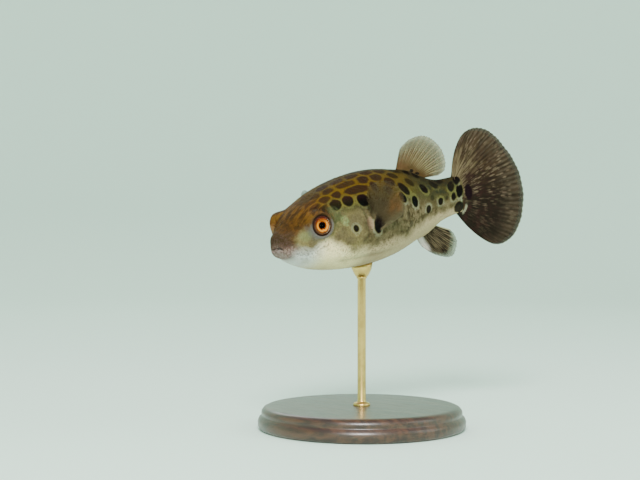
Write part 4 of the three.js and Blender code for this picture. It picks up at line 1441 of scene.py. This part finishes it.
skin_faces = [face.vertices for face in skin.data.polygons]
belly_tree = BVHTree.FromPolygons([v.co for v in skin.data.vertices], skin_faces)
brass = brass_finish()
cup_foot = float(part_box("stand_rod")[1][2]) / MM
rod_profile = [
    (0.01, BASE_HEIGHT - 0.5),
    (2.6, BASE_HEIGHT - 0.5),
    (2.6, BASE_HEIGHT + 0.5),
    (2.3, BASE_HEIGHT + 0.9),
    (1.5, BASE_HEIGHT + 1.1),
    (ROD_RADIUS, BASE_HEIGHT + 1.5),
    (ROD_RADIUS, cup_foot - 0.6),
    (1.6, cup_foot - 0.4),
    (1.6, cup_foot + 0.2),
    (0.01, cup_foot + 0.2),
]
rod = turned("brass_rod", rod_profile, 48)
cup_profile = [
    (0.01, 0.0),
    (CUP_FOOT - 0.3, 0.0),
    (CUP_FOOT, 0.2),
    (CUP_FOOT + 0.5, 1.0),
    (CUP_MOUTH - 0.35, 2.4),
    (CUP_MOUTH, 3.6),
    (CUP_MOUTH - CUP_WALL, 3.7),
    (CUP_MOUTH - 1.2, 3.2),
    (0.01, 3.0),
]
cup = turned("brass_cup", [(r, h + cup_foot) for r, h in cup_profile], 64)
for vertex in cup.data.vertices:
    over = cup_foot + 2.2
    if vertex.co.z / MM > over:
        hit = belly_tree.ray_cast(Vector((vertex.co.x, vertex.co.y, 0.03)), Vector((0, 0, 1)))[0]
        share = (vertex.co.z / MM - over) / (3.7 + cup_foot - over)
        vertex.co.z = (over * MM) + (hit.z + 0.1 * MM - over * MM) * min(share, 1.0)
for piece, node in ((rod, "stand_rod"), (cup, "stand_cup")):
    piece.data.materials.append(brass)
    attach(piece, "root")
    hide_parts(node)

# ---- The floor, the light and the camera --------------------------------------------------------
# A round, pale studio: the floor runs up into a low wall all round, under soft lamps.

STUDIO_RADIUS, STUDIO_CORNER, STUDIO_WALL = 1500.0, 700.0, 1400.0
STUDIO_SEGMENTS = 96
corner = [math.pi / 2 * k / 12 for k in range(13)]
studio_profile = [(1.0, 0.0), (STUDIO_RADIUS - STUDIO_CORNER, 0.0)]
studio_profile += [
    (STUDIO_RADIUS - STUDIO_CORNER * (1 - math.sin(a)), STUDIO_CORNER * (1 - math.cos(a))) for a in corner[1:]
]
studio_profile.append((STUDIO_RADIUS, STUDIO_WALL))
grid = turned_rings(studio_profile, STUDIO_SEGMENTS)
studio_mesh = bpy.data.meshes.new("studio")
index = np.arange(grid.shape[0] * STUDIO_SEGMENTS).reshape(-1, STUDIO_SEGMENTS)
right = np.roll(index, -1, axis=1)
studio_faces = np.stack([index[:-1], right[:-1], right[1:], index[1:]], -1).reshape(-1, 4).tolist()
studio_mesh.from_pydata(grid.reshape(-1, 3).tolist(), [], studio_faces + [index[0].tolist()])
studio_mesh.shade_smooth()
studio = bpy.data.objects.new("studio", studio_mesh)
bpy.context.collection.objects.link(studio)
paper = Finish("pale_paper")
studio_mesh.materials.append(paper.surface(base_color=paint(226, 250, 235), roughness=0.9))

world = bpy.data.worlds.new("soft_sky")
world.use_nodes = True
world.node_tree.nodes["Background"].inputs["Color"].default_value = (0.94, 0.97, 1.0, 1.0)
world.node_tree.nodes["Background"].inputs["Strength"].default_value = 0.75
bpy.context.scene.world = world


def lamp(name, place, size, power, aim):
    light = bpy.data.lights.new(name, "AREA")
    light.shape = "DISK"
    light.size = size
    light.energy = power
    holder = bpy.data.objects.new(name, light)
    holder.location = place
    holder.rotation_euler = (Vector(aim) - Vector(place)).to_track_quat("-Z", "Y").to_euler()
    bpy.context.collection.objects.link(holder)


AIM = (0.0, 0.0, 0.06)
lamp("key", (-0.62, -0.55, 0.62), 0.35, 17.0, AIM)
lamp("fill", (0.45, -0.75, 0.5), 0.6, 2.5, AIM)
lamp("back", (0.4, 0.7, 0.6), 0.5, 1.5, AIM)

# The camera stands level with the fish's cheek and looks across the head's left side.
CAMERA_AZIMUTH = math.radians(-46)
CAMERA_DISTANCE = 385.0
LENS, FILM_WIDTH = 70.0, 36.0
FRAME_WIDTH, FRAME_HEIGHT = 640, 480
MIDDLE_STATION = 39.5
MIDDLE_IN_FRAME = (367, 217)  # where the fish's middle falls, in frame pixels
focal = FRAME_WIDTH * LENS / FILM_WIDTH
middle = Vector(placed(MIDDLE_STATION, 0, 0))
away = Vector((-math.sin(CAMERA_AZIMUTH), math.cos(CAMERA_AZIMUTH), 0))
rightward = Vector((math.cos(CAMERA_AZIMUTH), math.sin(CAMERA_AZIMUTH), 0))
reach = CAMERA_DISTANCE * MM
position = middle - away * reach
position -= rightward * (MIDDLE_IN_FRAME[0] - FRAME_WIDTH / 2) / focal * reach
position -= Vector((0, 0, 1)) * (FRAME_HEIGHT / 2 - MIDDLE_IN_FRAME[1]) / focal * reach
camera_data = bpy.data.cameras.new("camera")
camera_data.lens = LENS
camera_data.sensor_width = FILM_WIDTH
camera_data.clip_start = 0.01
camera = bpy.data.objects.new("camera", camera_data)
camera.location = position
camera.rotation_euler = away.to_track_quat("-Z", "Y").to_euler()
bpy.context.collection.objects.link(camera)
bpy.context.scene.camera = camera
